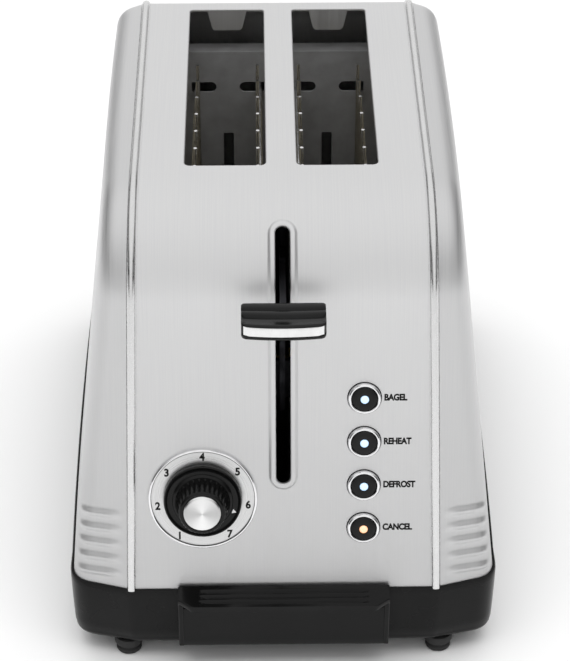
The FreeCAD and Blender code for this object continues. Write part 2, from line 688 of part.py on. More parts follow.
board = block_on_front(frame_x, middle_z, frame_wide, frame_tall, BOARD_FACE - 1.6, BOARD_FACE)
piece(shaped("ControlBoard", board), "control_board")
switches = [block_on_front(frame_x, z, 6.2, 6.2, BOARD_FACE, SWITCH_TOP) for z in button_levels()]
piece(shaped("TactSwitches", Part.makeCompound(switches)), "tact_switches")


# ---------------------------------------------------------------- crumb tray

TRAY_BACK, TRAY_WALL, TRAY_TALL, RUNNER = 122, 0.8, 9, 0.7
FRONT_HALF = 46.8
TRAY_GAP = 0.4   # tray front to the base's face


def across(half, profile):
    """A side profile of (y, z) points run across the toaster."""
    points = [Vector(-half, y, z) for y, z in profile]
    return Part.Face(Part.makePolygon(points + points[:1])).extrude(Vector(2 * half, 0, 0))


def make_tray():
    """The pan, with a runner along each edge."""
    half, start = dim("tray_half"), front_y(dim("skirt_top")) - 0.6 - TRAY_GAP
    long = TRAY_BACK - start
    pan = Part.makeBox(2 * half, long, TRAY_TALL, Vector(-half, start, TRAY_FLOOR))
    well = Part.makeBox(
        2 * (half - TRAY_WALL), long - 2 * TRAY_WALL, TRAY_TALL,
        Vector(-half + TRAY_WALL, start + TRAY_WALL, TRAY_FLOOR + TRAY_WALL),
    )
    runners = [
        Part.makeBox(3, long - 24, RUNNER, Vector(x - 1.5, start + 20, TRAY_FLOOR - RUNNER))
        for x in (-half + 3, half - 3)
    ]
    return pan.cut(well).fuse(runners).removeSplitter()


def make_tray_front():
    """The handle: a sloping top with grip ridges, a lip, a set-back face and two cheeks."""
    face = front_y(dim("skirt_top")) - 0.6 - TRAY_GAP
    lip = face - 10
    bar = across(FRONT_HALF, [(face, 13), (face, 44), (lip + 0.8, 41), (lip, 40), (lip, 37.6), (face - 4.4, 36), (face - 4.4, 13)])
    cheek = across(FRONT_HALF, [(face, 13), (face, 44), (lip + 0.8, 41), (lip, 40), (lip, 37.6), (face - 6.4, 13)])
    middle = Part.makeBox(2 * (FRONT_HALF - 3), 60, 60, Vector(-FRONT_HALF + 3, face - 40, 0))
    slope = (44 - 41) / (face - lip - 0.8)
    ridges = []
    for n in range(3):
        y = face - 2.4 - 2.3 * n
        z = 44 - slope * (face - y)
        ridges.append(Part.makeCylinder(0.9, 2 * FRONT_HALF - 12, Vector(-FRONT_HALF + 6, y, z - 0.45), X))
    return bar.fuse([cheek.cut(middle)] + ridges).removeSplitter()


piece(shaped("CrumbTray", make_tray()), "crumb_tray")
piece(shaped("TrayFront", make_tray_front()), "tray_front")


# ---------------------------------------------------------------- cord gland, terminals, screws

base_back = back_y(dim("skirt_top")) + 0.6
gland_long = 10 + TRAY_GAP
gland_profile = [
    (3.3, 1.5), (3.3, gland_long), (5.2, gland_long), (6.2, 3), (9, 3), (9, 0), (0, 0), (0, 1.5),
]
gland_face = Part.Face(Part.makePolygon([Vector(r, 0, out) for r, out in gland_profile + gland_profile[:1]]))
gland = gland_face.revolve(Vector(), Z, 360)
gland.Placement = Placement(Vector(-52, base_back, 26), Rotation(Z, Y))
piece(shaped("CordGland", gland), "cord_gland")

terminal_low = dim("foot_height") + dim("base_wall")
piece(box("TerminalBlock", (11, 42, 12), (48.5, 84, terminal_low)), "terminal_block")

SCREW_SPOTS = ((-54, -105), (54, -105), (-54, 104), (54, 104))
heads = [rod(f"ScrewHead_{n}", 3.2, 1.6, (x, y, "foot_height - 1.6")) for n, (x, y) in enumerate(SCREW_SPOTS)]
piece(group("BaseScrews", heads), "base_screws")




# ---------------------------------------------------------------- checks and export

doc.recompute()
os.makedirs("parts", exist_ok=True)
for old in os.listdir("parts"):
    os.remove(os.path.join("parts", old))
for obj in doc.Objects:
    if "Invalid" in obj.State or "Error" in obj.State:
        raise RuntimeError(f"{obj.Label} failed: {obj.State}")
whole = Part.makeCompound([obj.Shape for obj in PIECES]).optimalBoundingBox()
centring = -(whole.YMin + whole.YMax) / 2
print(f"pieces moved {centring:.4f} mm along Y, to put the origin midway along the toaster")
for obj in PIECES:
    shape = obj.Shape
    if shape.isNull() or not shape.isValid() or not shape.Solids:
        raise RuntimeError(f"{obj.Label} has no valid solid")
    placed = shape.copy()
    placed.translate(Vector(0, centring, 0))
    placed.exportStep(f"parts/{obj.Label}.step")
    print(f"{obj.Label}: {len(shape.Solids)} solid(s), {shape.Volume / 1000:.2f} cm3")
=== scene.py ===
"""The look of the pop up toaster: detailed shells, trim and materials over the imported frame.

Lengths are millimetres until a mesh is made. X is to the right, the controls face -Y, +Z is up.
The cabinet's surfaces are drawn on its side outline: a place on them is an x and a distance s
run along the outline, from the front's lower edge, over the top, down to the back's lower edge.
"""

import json
import math

import bmesh
import bpy
import numpy as np
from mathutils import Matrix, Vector
from mathutils.geometry import delaunay_2d_cdt


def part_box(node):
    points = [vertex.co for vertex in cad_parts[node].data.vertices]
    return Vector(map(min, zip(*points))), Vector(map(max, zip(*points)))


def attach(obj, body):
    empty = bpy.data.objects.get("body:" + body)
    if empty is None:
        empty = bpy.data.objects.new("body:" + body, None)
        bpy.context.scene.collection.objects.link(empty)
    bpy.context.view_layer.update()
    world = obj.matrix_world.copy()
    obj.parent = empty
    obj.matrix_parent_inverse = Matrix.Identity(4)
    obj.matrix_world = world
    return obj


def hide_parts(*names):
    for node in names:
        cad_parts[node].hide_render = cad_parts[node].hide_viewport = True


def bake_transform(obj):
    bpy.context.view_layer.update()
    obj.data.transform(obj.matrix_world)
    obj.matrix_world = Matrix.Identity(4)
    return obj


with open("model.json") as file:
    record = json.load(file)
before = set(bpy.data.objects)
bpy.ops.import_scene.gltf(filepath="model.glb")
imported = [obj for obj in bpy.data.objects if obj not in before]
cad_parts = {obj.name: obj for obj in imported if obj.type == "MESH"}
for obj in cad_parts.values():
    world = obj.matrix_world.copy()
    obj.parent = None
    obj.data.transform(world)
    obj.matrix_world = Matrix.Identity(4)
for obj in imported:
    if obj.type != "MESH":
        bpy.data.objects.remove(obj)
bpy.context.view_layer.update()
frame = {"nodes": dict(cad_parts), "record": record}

MM = 0.001
BODY = "cabinet"


# ---------------------------------------------------------------- the cabinet's outline

HEIGHT, SKIRT = 212.0, 41.0
SHOULDER, TOP_HALF = 46.0, 80.0
BACK_SHOULDER, TOP_BACK = 22.0, 75.0
LEAN = math.radians(12)
SEAM_TOP, SEAM_FOOT = 63.3, 67.4
SIDE_GROUND, SIDE_PEAK, SIDE_BOW, BOW_REACH = 100.5, 77.0, 3.5, 175.0
ROD_Y = -92.0

# The frame's origin is midway along the whole toaster; these surfaces are drawn from the slots' middle.
CENTRING = (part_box("guide_rod")[0].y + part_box("guide_rod")[1].y) / 2 / MM - ROD_Y


def straight_length(radius):
    """Length of a leaning end, from the cabinet's lower edge to its shoulder."""
    return (HEIGHT - radius * (1 - math.sin(LEAN)) - SKIRT) / math.cos(LEAN)


STRAIGHT = straight_length(SHOULDER)
TOP_START = STRAIGHT + SHOULDER * (math.pi / 2 - LEAN)
MIDDLE = TOP_START + TOP_HALF
TOP_END = MIDDLE + TOP_BACK
BACK_START = TOP_END + BACK_SHOULDER * (math.pi / 2 - LEAN)
TOTAL = BACK_START + straight_length(BACK_SHOULDER)
ARC_Z = HEIGHT - SHOULDER
TANGENT_Z = ARC_Z + SHOULDER * math.sin(LEAN)


def end_outline(s, straight, radius, flat):
    """(distance outwards, z, normal outwards, normal z) along one end, from its foot up to the flat top."""
    if s < straight:
        rest = straight - s
        z = HEIGHT - radius * (1 - math.sin(LEAN)) - rest * math.cos(LEAN)
        return flat + radius * math.cos(LEAN) + rest * math.sin(LEAN), z, math.cos(LEAN), math.sin(LEAN)
    turn = LEAN + (s - straight) / radius
    z = HEIGHT - radius * (1 - math.sin(turn))
    return flat + radius * math.cos(turn), z, math.cos(turn), math.sin(turn)


def outline(s):
    """(y, z, normal y, normal z) at a distance s along the side outline."""
    if s < TOP_START:
        out, z, normal_out, normal_z = end_outline(s, STRAIGHT, SHOULDER, TOP_HALF)
        return -out, z, -normal_out, normal_z
    if s <= TOP_END:
        return s - MIDDLE, HEIGHT, 0.0, 1.0
    return end_outline(TOTAL - s, straight_length(BACK_SHOULDER), BACK_SHOULDER, TOP_BACK)


def rise(z):
    """The distance s on the front for a height z, on its straight part or its shoulder."""
    if z < TANGENT_Z:
        return (z - SKIRT) / math.cos(LEAN)
    return STRAIGHT + SHOULDER * (math.asin((z - ARC_Z) / SHOULDER) - LEAN)


def at(x, s, proud=0.0):
    """The point over the outline at x, moved out by a distance."""
    y, z, ny, nz = outline(s)
    return np.array((x, y + proud * ny, z + proud * nz))


def seam(s):
    """Half the width of the wrap between its seams."""
    z = outline(s)[1]
    return SEAM_FOOT + (SEAM_TOP - SEAM_FOOT) * (z - SKIRT) / (HEIGHT - SKIRT)


def side_x(y, z):
    """Half width of the cabinet at the flat of its side."""
    slope = (SIDE_PEAK - SIDE_GROUND) / HEIGHT
    return SIDE_GROUND + slope * z - SIDE_BOW * (y / BOW_REACH) ** 2


def smooth(low, high, value):
    """0 below low, 1 above high, and an easy curve between."""
    t = min(max((value - low) / (high - low), 0.0), 1.0)
    return t * t * (3 - 2 * t)


def stations(low=0.0, high=TOTAL, flat_step=4.0, arc_step=2.0):
    """Distances along the outline, closer together on the shoulders."""
    marks = [0.0, STRAIGHT, TOP_START, TOP_END, BACK_START, TOTAL]
    marks = [low] + [m for m in marks if low < m < high] + [high]
    found = []
    for a, b in zip(marks, marks[1:]):
        middle = (a + b) / 2
        curved = STRAIGHT < middle < TOP_START or TOP_END < middle < BACK_START
        count = max(1, math.ceil((b - a) / (arc_step if curved else flat_step)))
        found += list(np.linspace(a, b, count, endpoint=False))
    return found + [high]


# ---------------------------------------------------------------- mesh helpers

def in_frame(point):
    """A drawn point, in millimetres, as metres in the frame."""
    x, y, z = (float(c) for c in point)
    return x * MM, (y + CENTRING) * MM, z * MM


def linked(name, data):
    """A new object in the scene for a mesh, a curve, a light or a camera."""
    obj = bpy.data.objects.new(name, data)
    bpy.context.scene.collection.objects.link(obj)
    return obj


def add_mesh(name, points, faces, material, body=BODY, slot=None, replaces=(), normals=None, sharp=30):
    """An object from points in millimetres, riding on a body of the frame unless that is None."""
    mesh = bpy.data.meshes.new(name)
    mesh.from_pydata([in_frame(p) for p in points], [], [tuple(f) for f in faces])
    mesh.validate()
    mesh.update()
    obj = linked(name, mesh)
    for polygon in mesh.polygons:
        polygon.use_smooth = True
    if normals is not None:
        mesh.normals_split_custom_set_from_vertices([tuple(map(float, n)) for n in normals])
    elif sharp:
        mark_sharp(mesh, sharp)
    mesh.materials.append(material)
    if body:
        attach(obj, body)
    if replaces:
        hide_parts(*replaces)
    return obj


def mark_sharp(mesh, degrees):
    """Keeps edges sharp where faces meet at more than an angle."""
    work = bmesh.new()
    work.from_mesh(mesh)
    bmesh.ops.remove_doubles(work, verts=work.verts, dist=1e-6)
    bmesh.ops.recalc_face_normals(work, faces=work.faces)
    for edge in work.edges:
        if len(edge.link_faces) == 2 and edge.calc_face_angle(0) > math.radians(degrees):
            edge.smooth = False
    work.to_mesh(mesh)
    work.free()


def ring_edges(count, first=0):
    """The edges of a closed loop of places."""
    return [(first + i, first + (i + 1) % count) for i in range(count)]


def triangulated(places, edges, output, near):
    """Flat triangles over places, following the edges: output 0 covers the hull, and 1 the inside."""
    flat, _, triangles, _, _, _ = delaunay_2d_cdt([Vector(p) for p in places], edges, [], output, near)
    return flat, triangles


def triangle_middle(flat, triangle):
    return sum(flat[i].x for i in triangle) / 3, sum(flat[i].y for i in triangle) / 3


class Build:
    """Points and faces of one mesh, gathered piece by piece."""

    def __init__(self):
        self.points, self.faces, self.normals = [], [], []

    def add(self, points, faces, normals=None):
        first = len(self.points)
        self.points += [np.array(p, float) for p in points]
        self.faces += [[first + i for i in face] for face in faces]
        if normals is not None:
            self.normals += list(normals)

    def grid(self, rows, closed=False, normals=None):
        """Quads between rows of equally many points; closed joins each row's ends."""
        wide = len(rows[0])
        faces = []
        for r in range(len(rows) - 1):
            for c in range(wide if closed else wide - 1):
                d = (c + 1) % wide
                faces.append((r * wide + c, r * wide + d, (r + 1) * wide + d, (r + 1) * wide + c))
        flat = [p for row in rows for p in row]
        self.add(flat, faces, None if normals is None else [n for row in normals for n in row])

    def fan(self, ring, centre=None):
        """Closes a ring with triangles about its middle."""
        middle = np.mean(ring, axis=0) if centre is None else np.array(centre, float)
        count = len(ring)
        self.add(list(ring) + [middle], [(i, (i + 1) % count, count) for i in range(count)])

    def rod(self, rows):
        """A tube through closed rows, with both its ends closed."""
        self.grid(rows, closed=True)
        self.fan(rows[0])
        self.fan(rows[-1])

    def done(self, name, material, **facts):
        normals = self.normals if self.normals else None
        return add_mesh(name, self.points, self.faces, material, normals=normals, **facts)

    def welded(self, name, material, sharp_over=None, **facts):
        """The finished object with coincident points joined, and edges sharp only past an angle."""
        obj = add_mesh(name, self.points, self.faces, material, sharp=0, **facts)
        weld(obj)
        if sharp_over:
            mark_sharp(obj.data, sharp_over)
        return obj


# ---------------------------------------------------------------- cabinet: wrap of sheet steel

SLOT_X, SLOT_HALF, SLOT_LONG, SLOT_ROUND = 24.3, 17.5, 148.0, 2.5
SLIT_HALF, SLIT_LOW, SLIT_HIGH = 3.1, 92.0, 202.0
BORDER_HALF, BORDER_SLOPE, BORDER_RISE = 6.6, 1.7, 1.05
BUTTON_X, BUTTON_FIRST, BUTTON_PITCH, BUTTON_HOLE = 35.0, 70.5, 20.2, 7.4
DIAL_X, DIAL_Z, DIAL_HOLE = -35.2, 85.0, 13.4
BUTTONS = ("cancel", "defrost", "reheat", "bagel")
SHEET = 1.0


def button_z(n):
    return BUTTON_FIRST + n * BUTTON_PITCH


def circle_loop(x, s, radius, count=48):
    """A hole's edge as a function of how far it is moved into the sheet."""
    def loop(back):
        turns = np.linspace(0, 2 * math.pi, count, endpoint=False)
        return [(x + (radius + back) * math.cos(t), s + (radius + back) * math.sin(t)) for t in turns]
    return loop


def stadium_loop(x, low, high, half, count=14):
    """A long hole with round ends."""
    def loop(back):
        radius = half + back
        points = []
        for centre, start in ((high - half, 0.0), (low + half, math.pi)):
            for t in np.linspace(start, start + math.pi, count):
                points.append((x + radius * math.cos(t), centre + radius * math.sin(t)))
            ahead = (low + half) if centre > low + half else (high - half)
            for k in range(1, 30):
                part = k / 30
                side = -radius if start == 0.0 else radius
                points.append((x + side, centre + (ahead - centre) * part))
        return points
    return loop


def rectangle_loop(x, s, half_wide, half_long, corner, count=6):
    """A rectangular hole with rounded corners."""
    def loop(back):
        points = []
        for sx, sy, start in ((1, 1, 0), (-1, 1, 90), (-1, -1, 180), (1, -1, 270)):
            for t in np.radians(np.linspace(start, start + 90, count)):
                reach = corner + back
                points.append((
                    x + sx * (half_wide - corner) + reach * math.cos(t),
                    s + sy * (half_long - corner) + reach * math.sin(t),
                ))
        return points
    return loop


def inside(loop, x, s):
    """Whether a place is inside a closed loop of places."""
    found = False
    for (x0, s0), (x1, s1) in zip(loop, loop[1:] + loop[:1]):
        if (s0 > s) != (s1 > s) and x < x0 + (x1 - x0) * (s - s0) / (s1 - s0):
            found = not found
    return found


def slit_distance(x, s):
    """How far a place is from the middle line of the lever's slit."""
    low, high = rise(SLIT_LOW) + SLIT_HALF, rise(SLIT_HIGH) - SLIT_HALF
    return math.hypot(x, s - min(max(s, low), high))


def emboss(x, s):
    """How far the sheet is pressed outwards round the slit."""
    away = slit_distance(x, s)
    return BORDER_RISE * (1 - smooth(BORDER_HALF - BORDER_SLOPE, BORDER_HALF, away))


def wrap_normal(x, s):
    step = 0.05
    along = at(x, s + step, emboss(x, s + step)) - at(x, s - step, emboss(x, s - step))
    across = at(x + step, s, emboss(x + step, s)) - at(x - step, s, emboss(x - step, s))
    normal = np.cross(across, along)
    return normal / np.linalg.norm(normal)


def wrap_holes():
    """Every hole in the wrap, with the radius that its edge is rolled to."""
    slit = stadium_loop(0, rise(SLIT_LOW), rise(SLIT_HIGH), SLIT_HALF)
    holes = [(slit, 0.7)]
    for way in (-1, 1):
        holes.append((rectangle_loop(way * SLOT_X, MIDDLE, SLOT_HALF, SLOT_LONG / 2, SLOT_ROUND), 0.8))
    for n in range(len(BUTTONS)):
        holes.append((circle_loop(BUTTON_X, rise(button_z(n)), BUTTON_HOLE), 0.3))
    holes.append((circle_loop(DIAL_X, rise(DIAL_Z), DIAL_HOLE), 0.3))
    return holes


def wrap_marks():
    """Places and edges that the wrap's mesh has to follow: its rim, its holes and the slit's border."""
    loops = []
    rows = stations()
    rim = [(-seam(s), s) for s in rows] + [(seam(s), s) for s in reversed(rows)]
    loops.append(rim)
    for loop, rolled in wrap_holes():
        loops.append(loop(rolled))
    border = stadium_loop(0, rise(SLIT_LOW), rise(SLIT_HIGH), SLIT_HALF)
    for away in np.linspace(BORDER_HALF - BORDER_SLOPE, BORDER_HALF, 5):
        loops.append(border(away - SLIT_HALF))
    return rows, loops


def make_wrap(material):
    rows, loops = wrap_marks()
    places, edges = [], []
    for loop in loops:
        edges += ring_edges(len(loop), len(places))
        places += loop
    columns = np.linspace(-1, 1, 35)[1:-1]
    places += [(c * seam(s), s) for s in rows[1:-1] for c in columns]
    flat, triangles = triangulated(places, edges, 0, 1e-4)
    gaps = [loop(rolled) for loop, rolled in wrap_holes()]
    boxes = []
    for gap in gaps:
        xs, runs = zip(*gap)
        boxes.append((min(xs), max(xs), min(runs), max(runs)))
    build = Build()
    keep = []
    for triangle in triangles:
        x, s = triangle_middle(flat, triangle)
        if abs(x) > seam(min(max(s, 0), TOTAL)) + 0.02:
            continue
        if any(b[0] < x < b[1] and b[2] < s < b[3] and inside(g, x, s) for b, g in zip(boxes, gaps)):
            continue
        keep.append(tuple(triangle))
    points = [at(p.x, min(max(p.y, 0), TOTAL), emboss(p.x, p.y)) for p in flat]
    build.add(points, keep, [wrap_normal(p.x, min(max(p.y, 0.1), TOTAL - 0.1)) for p in flat])
    for loop, rolled in wrap_holes():
        roll_edge(build, loop, rolled)
    return build.done("cabinet_wrap_sheet", material, slot="cabinet_steel", replaces=["cabinet_wrap"])


def roll_edge(build, loop, rolled):
    """The edge of a hole, turned down into the sheet with a small radius."""
    edge, inner = loop(0), loop(-1)
    rings, normals = [], []
    for turn in np.linspace(0, math.pi / 2, 6):
        ring = loop(rolled * (1 - math.sin(turn)))
        depth = rolled * (1 - math.cos(turn))
        rings.append([at(x, s, emboss(x, s) - depth) for x, s in ring])
        row = []
        for (x, s), a, b in zip(ring, edge, inner):
            into = at(b[0], b[1]) - at(a[0], a[1])
            into /= np.linalg.norm(into)
            normal = math.cos(turn) * wrap_normal(x, s) + math.sin(turn) * into
            row.append(normal / np.linalg.norm(normal))
        normals.append(row)
    rings.append([at(x, s, emboss(x, s) - SHEET - 0.4) for x, s in edge])
    normals.append(normals[-1])
    build.grid(rings, closed=True, normals=normals)


TAB_HALF_TOP, TAB_HALF_FOOT, TAB_LONG, TAB_THICK, TAB_DROP = 9.5, 7.0, 10.9, 0.8, 0.6


def make_tabs(material):
    """The tabs bent down from both ends of each bread slot, narrower at their feet."""
    build = Build()
    for way in (-1, 1):
        for end in (-1, 1):
            x, y = way * SLOT_X, end * SLOT_LONG / 2
            rows = []
            for share in np.linspace(0, 1, 9):
                half = TAB_HALF_TOP + (TAB_HALF_FOOT - TAB_HALF_TOP) * share
                half -= 0.8 * smooth(0.9, 1.0, share)
                z = HEIGHT - TAB_DROP - TAB_LONG * share
                near, far = y + end * 0.1, y + end * TAB_THICK
                front = [(x - half, near, z), (x, near, z), (x + half, near, z)]
                rows.append(front + [(x + half, far, z), (x - half, far, z)])
            build.rod(rows)
    build.welded("slot_tabs", material, slot="cabinet_steel", sharp_over=30)


# ---------------------------------------------------------------- cabinet: seams and side panels

BEAD_HALF, BEAD_RISE = 1.9, 1.45


def make_beads(material):
    """The rolled seam on each side: a round bead between two fine grooves."""
    profile = [(-2.4, 0.06), (-2.0, -0.35), (-1.8, 0.1)]
    for turn in np.radians(np.linspace(165, 15, 11)):
        profile.append((1.75 * math.cos(turn), 0.15 + (BEAD_RISE - 0.15) * math.sin(turn)))
    profile += [(1.8, 0.1), (2.0, -0.6), (2.3, -0.7)]
    for label, way in (("left", -1), ("right", 1)):
        rows = []
        for s in stations(flat_step=6, arc_step=2):
            rows.append([at(way * (seam(s) + u), s, up) for u, up in profile])
        build = Build()
        build.grid(rows)
        build.done(f"seam_bead_{label}", material, slot="cabinet_steel", sharp=40)


FACET = math.radians(17)
TURN_RADIUS, INSET = 11.0, 18.0
FACET_STEPS, TURN_STEPS, TAIL_STEPS = 8, 12, 4
RIB_LEVELS = tuple(48.5 + 7.0 * n for n in range(5))
RIB_HALF, RIB_RISE = 2.6, 1.0


def side_section(s):
    """The side panel's section square to the outline: (x, depth inwards) from the seam to the side."""
    x0, d0 = seam(s) + BEAD_HALF + 0.1, 0.35
    y, z, ny, nz = outline(s)
    end_x = side_x(y - ny * INSET, z - nz * INSET)
    before_x = side_x(y - ny * (INSET - 1), z - nz * (INSET - 1))
    slope = end_x - before_x
    tangent = math.tan(FACET)
    corner_x = (end_x - slope * (INSET - d0 + tangent * x0)) / (1 - slope * tangent)
    corner_d = d0 + tangent * (corner_x - x0)
    ahead = np.array((math.cos(FACET), math.sin(FACET)))
    down = np.array((slope, 1.0)) / math.hypot(slope, 1.0)
    bend = math.acos(float(ahead @ down))
    corner = np.array((corner_x, corner_d))
    room = min((corner_x - x0) / ahead[0] * 0.8, (INSET - corner_d) / down[1] * 0.95)
    cut = min(TURN_RADIUS * math.tan(bend / 2), room)
    start, stop = corner - ahead * cut, corner + down * cut
    points = []
    for t in np.linspace(0, 1, FACET_STEPS, endpoint=False):
        points.append(np.array((x0, d0)) * (1 - t) + start * t)
    for t in np.linspace(0, 1, TURN_STEPS, endpoint=False):
        points.append(start * (1 - t) ** 2 + 2 * corner * t * (1 - t) + stop * t ** 2)
    points += [stop * (1 - t) + np.array((end_x, INSET)) * t for t in np.linspace(0, 1, TAIL_STEPS + 1)]
    return points


def rib_height(share, z):
    """How far the pressed ribs stand out at a share of the section and a height."""
    fade = smooth(0.10, 0.22, share) * (1 - smooth(0.62, 0.80, share))
    for level in RIB_LEVELS:
        if abs(z - level) < RIB_HALF:
            return fade * RIB_RISE * math.cos(math.pi / 2 * (z - level) / RIB_HALF) ** 2
    return 0.0


def side_stations():
    """Rows of a side panel, close together where the ribs are."""
    low, high = rise(44.0), rise(82.0)
    rows = stations(0, low) + stations(low, high, flat_step=0.6)[1:]
    rows += stations(high, TOTAL - high)[1:]
    rows += stations(TOTAL - high, TOTAL - low, flat_step=0.6)[1:] + stations(TOTAL - low, TOTAL)[1:]
    return rows


def make_side(way, material):
    """A side panel: a facet beside the seam, a tight turn, pressed ribs low down, then the bowed side."""
    rows, edge = [], []
    for s in side_stations():
        y, z, ny, nz = outline(s)
        section = side_section(s)
        spans = [0.0] + [float(np.linalg.norm(b - a)) for a, b in zip(section, section[1:])]
        walked = np.cumsum(spans)
        row = []
        for n, (x, d) in enumerate(section):
            before, after = section[max(n - 1, 0)], section[min(n + 1, len(section) - 1)]
            along = (after - before) / np.linalg.norm(after - before)
            up = rib_height(walked[n] / walked[-1], z)
            x, d = x + up * along[1], d - up * along[0]
            row.append(np.array((way * x, y - ny * d, z - nz * d)))
        rows.append(row)
        edge.append(row[-1])
    build = Build()
    build.grid(rows)
    ring = [(float(p[1]), float(p[2])) for p in edge]
    inner = []
    low_z = min(p[1] for p in ring)
    for y in np.arange(-150, 151, 7.5):
        for z in np.arange(low_z + 5, HEIGHT - INSET, 7.5):
            if inside(ring, y, z) and min(math.hypot(y - a, z - b) for a, b in ring) > 3:
                inner.append((y, z))
    flat, triangles = triangulated(ring + inner, ring_edges(len(ring)), 1, 1e-5)
    build.add([(way * side_x(p.x, p.y), p.x, p.y) for p in flat], [tuple(t) for t in triangles])
    hand = "left" if way < 0 else "right"
    return build.welded(
        f"side_shell_{hand}", material, slot="cabinet_steel", replaces=[f"side_panel_{hand}"],
    )


def weld(obj):
    """Joins points that coincide, so that shading runs on across them."""
    work = bmesh.new()
    work.from_mesh(obj.data)
    bmesh.ops.remove_doubles(work, verts=work.verts, dist=2e-5)
    bmesh.ops.recalc_face_normals(work, faces=work.faces)
    work.to_mesh(obj.data)
    work.free()
    for polygon in obj.data.polygons:
        polygon.use_smooth = True


# ---------------------------------------------------------------- base and feet

BASE_LOW, BASE_GAP, BASE_TUCK, BASE_FOOT_ROUND = 8.0, 1.1, 2.6, 4.5


def corner_outline(s, grow):
    """One corner of the base's plan, from the seam to the side: it follows the side panel."""
    y0, _, ny, _ = outline(s)
    way = math.copysign(1, ny)
    corner = [(x, y0 - way * d) for x, d in side_section(s)]
    points = []
    for n, (x, y) in enumerate(corner):
        (xa, ya), (xb, yb) = corner[max(n - 1, 0)], corner[min(n + 1, len(corner) - 1)]
        long = math.hypot(xb - xa, yb - ya)
        points.append((x - way * grow * (yb - ya) / long, y + way * grow * (xb - xa) / long))
    seam_x, seam_y = points[0]
    flat = [(x, y0 + way * grow) for x in (0.0, 20.0, 40.0, 45.6, 46.6, 55.0, 62.0, 66.0, 67.0)]
    return flat + [(seam_x - 0.8, seam_y + way * 0.2)] + points


def base_ring(grow, tuck):
    """The whole plan outline, pulled in at the front and the back by a tuck."""
    front, back = corner_outline(0.0, grow), corner_outline(TOTAL, grow)
    first, last = front[-1][1], back[-1][1]
    side = [(side_x(y, SKIRT) + grow, float(y)) for y in np.linspace(first, last, 25)[1:-1]]
    right = []
    for x, y in front + side + back[::-1]:
        near_end = max(first - y, y - last, 0.0) / INSET
        ahead = -1 if y > 0 else 1
        right.append((x - 0.45 * tuck * smooth(66, 70, x), y + ahead * tuck * min(near_end, 1.0)))
    left = [(-x, y) for x, y in reversed(right[1:-1])]
    return right + left


def make_base(material):
    """The moulded base: a skirt that tucks under, with a lip round the cabinet and a tray mouth."""
    levels = [(SKIRT - 3, -2.2, 0), (SKIRT - 0.2, -1.2, 0), (SKIRT + 0.5, -0.7, 0), (SKIRT + 0.8, 0.1, 0)]
    levels += [(SKIRT + 0.5, BASE_GAP - 0.3, 0), (SKIRT - 0.3, BASE_GAP, 0)]
    for share in np.linspace(0.08, 0.82, 8):
        z = SKIRT + (BASE_LOW - SKIRT) * share
        levels.append((z, BASE_GAP, BASE_TUCK * share ** 1.5))
    foot = BASE_LOW + BASE_FOOT_ROUND
    for turn in np.radians(np.linspace(0, 90, 8)):
        inward = BASE_FOOT_ROUND * (1 - math.cos(turn))
        levels.append((foot - BASE_FOOT_ROUND * math.sin(turn), BASE_GAP - inward, BASE_TUCK))
    levels.append((BASE_LOW, BASE_GAP - BASE_FOOT_ROUND - 8, BASE_TUCK))
    rows = [[np.array((x, y, z)) for x, y in base_ring(grow, tuck)] for z, grow, tuck in levels]
    build = Build()
    build.grid(rows, closed=True)
    build.faces = [f for f in build.faces if not in_mouth(build, f)]
    floor = [(float(p[0]), float(p[1])) for p in rows[-1]]
    return finish_base(build, floor, material)


MOUTH_HALF, MOUTH_LOW, MOUTH_HIGH = 46.0, 10.6, 27.5
VENTS_X, VENTS_Y, VENT_LONG, VENT_HALF = (-30, -15, 0, 15, 30), (-90, 20), 60, 2.5


def in_mouth(build, face):
    """Whether a face of the skirt lies in the opening for the crumb tray."""
    x, y, z = np.mean([build.points[i] for i in face], axis=0)
    return abs(x) < MOUTH_HALF and y < -140 and MOUTH_LOW < z < MOUTH_HIGH


def finish_base(build, floor, material):
    """Closes the underside, leaving the vents open, and adds the mouth's walls and the inner floor."""
    places = list(floor)
    edges = ring_edges(len(floor))
    vents = []
    for x in VENTS_X:
        for y in VENTS_Y:
            vents.append(rectangle_loop(x, y + VENT_LONG / 2, VENT_HALF, VENT_LONG / 2, 2.0, 5)(0))
    for vent in vents:
        edges += ring_edges(len(vent), len(places))
        places += vent
    flat, triangles = triangulated(places, edges, 1, 1e-5)
    keep = []
    for triangle in triangles:
        middle = triangle_middle(flat, triangle)
        if not any(inside(vent, *middle) for vent in vents):
            keep.append(tuple(triangle))
    build.add([(p.x, p.y, BASE_LOW) for p in flat], keep)
    for vent in vents:
        build.grid([[(x, y, z) for x, y in vent] for z in (BASE_LOW, BASE_LOW + 2.5)], closed=True)
    build.add([(p.x, p.y, BASE_LOW + 2.5) for p in flat], keep)
    front = outline(0.0)[0] - BASE_GAP
    mouth = [(-MOUTH_HALF, MOUTH_LOW), (MOUTH_HALF, MOUTH_LOW)]
    mouth += [(MOUTH_HALF, MOUTH_HIGH), (-MOUTH_HALF, MOUTH_HIGH)]
    build.grid([[(x, front + deep, z) for x, z in mouth] for deep in (1.2, 12)], closed=True)
    return build.welded(
        "base_skirt", material, slot="black_moulding", replaces=["base_moulding"], sharp_over=40,
    )


FOOT_PROFILE = (
    (0.0, 0.25), (3.6, 0.25), (3.9, 0.0), (5.0, 0.0), (5.5, 0.3), (5.75, 1.0), (5.6, 2.0), (4.9, 2.6),
    (4.7, 3.0), (4.9, 3.5), (6.2, 4.2), (6.5, 4.9), (6.5, 7.2), (6.2, 7.9), (0.0, 7.95),
)


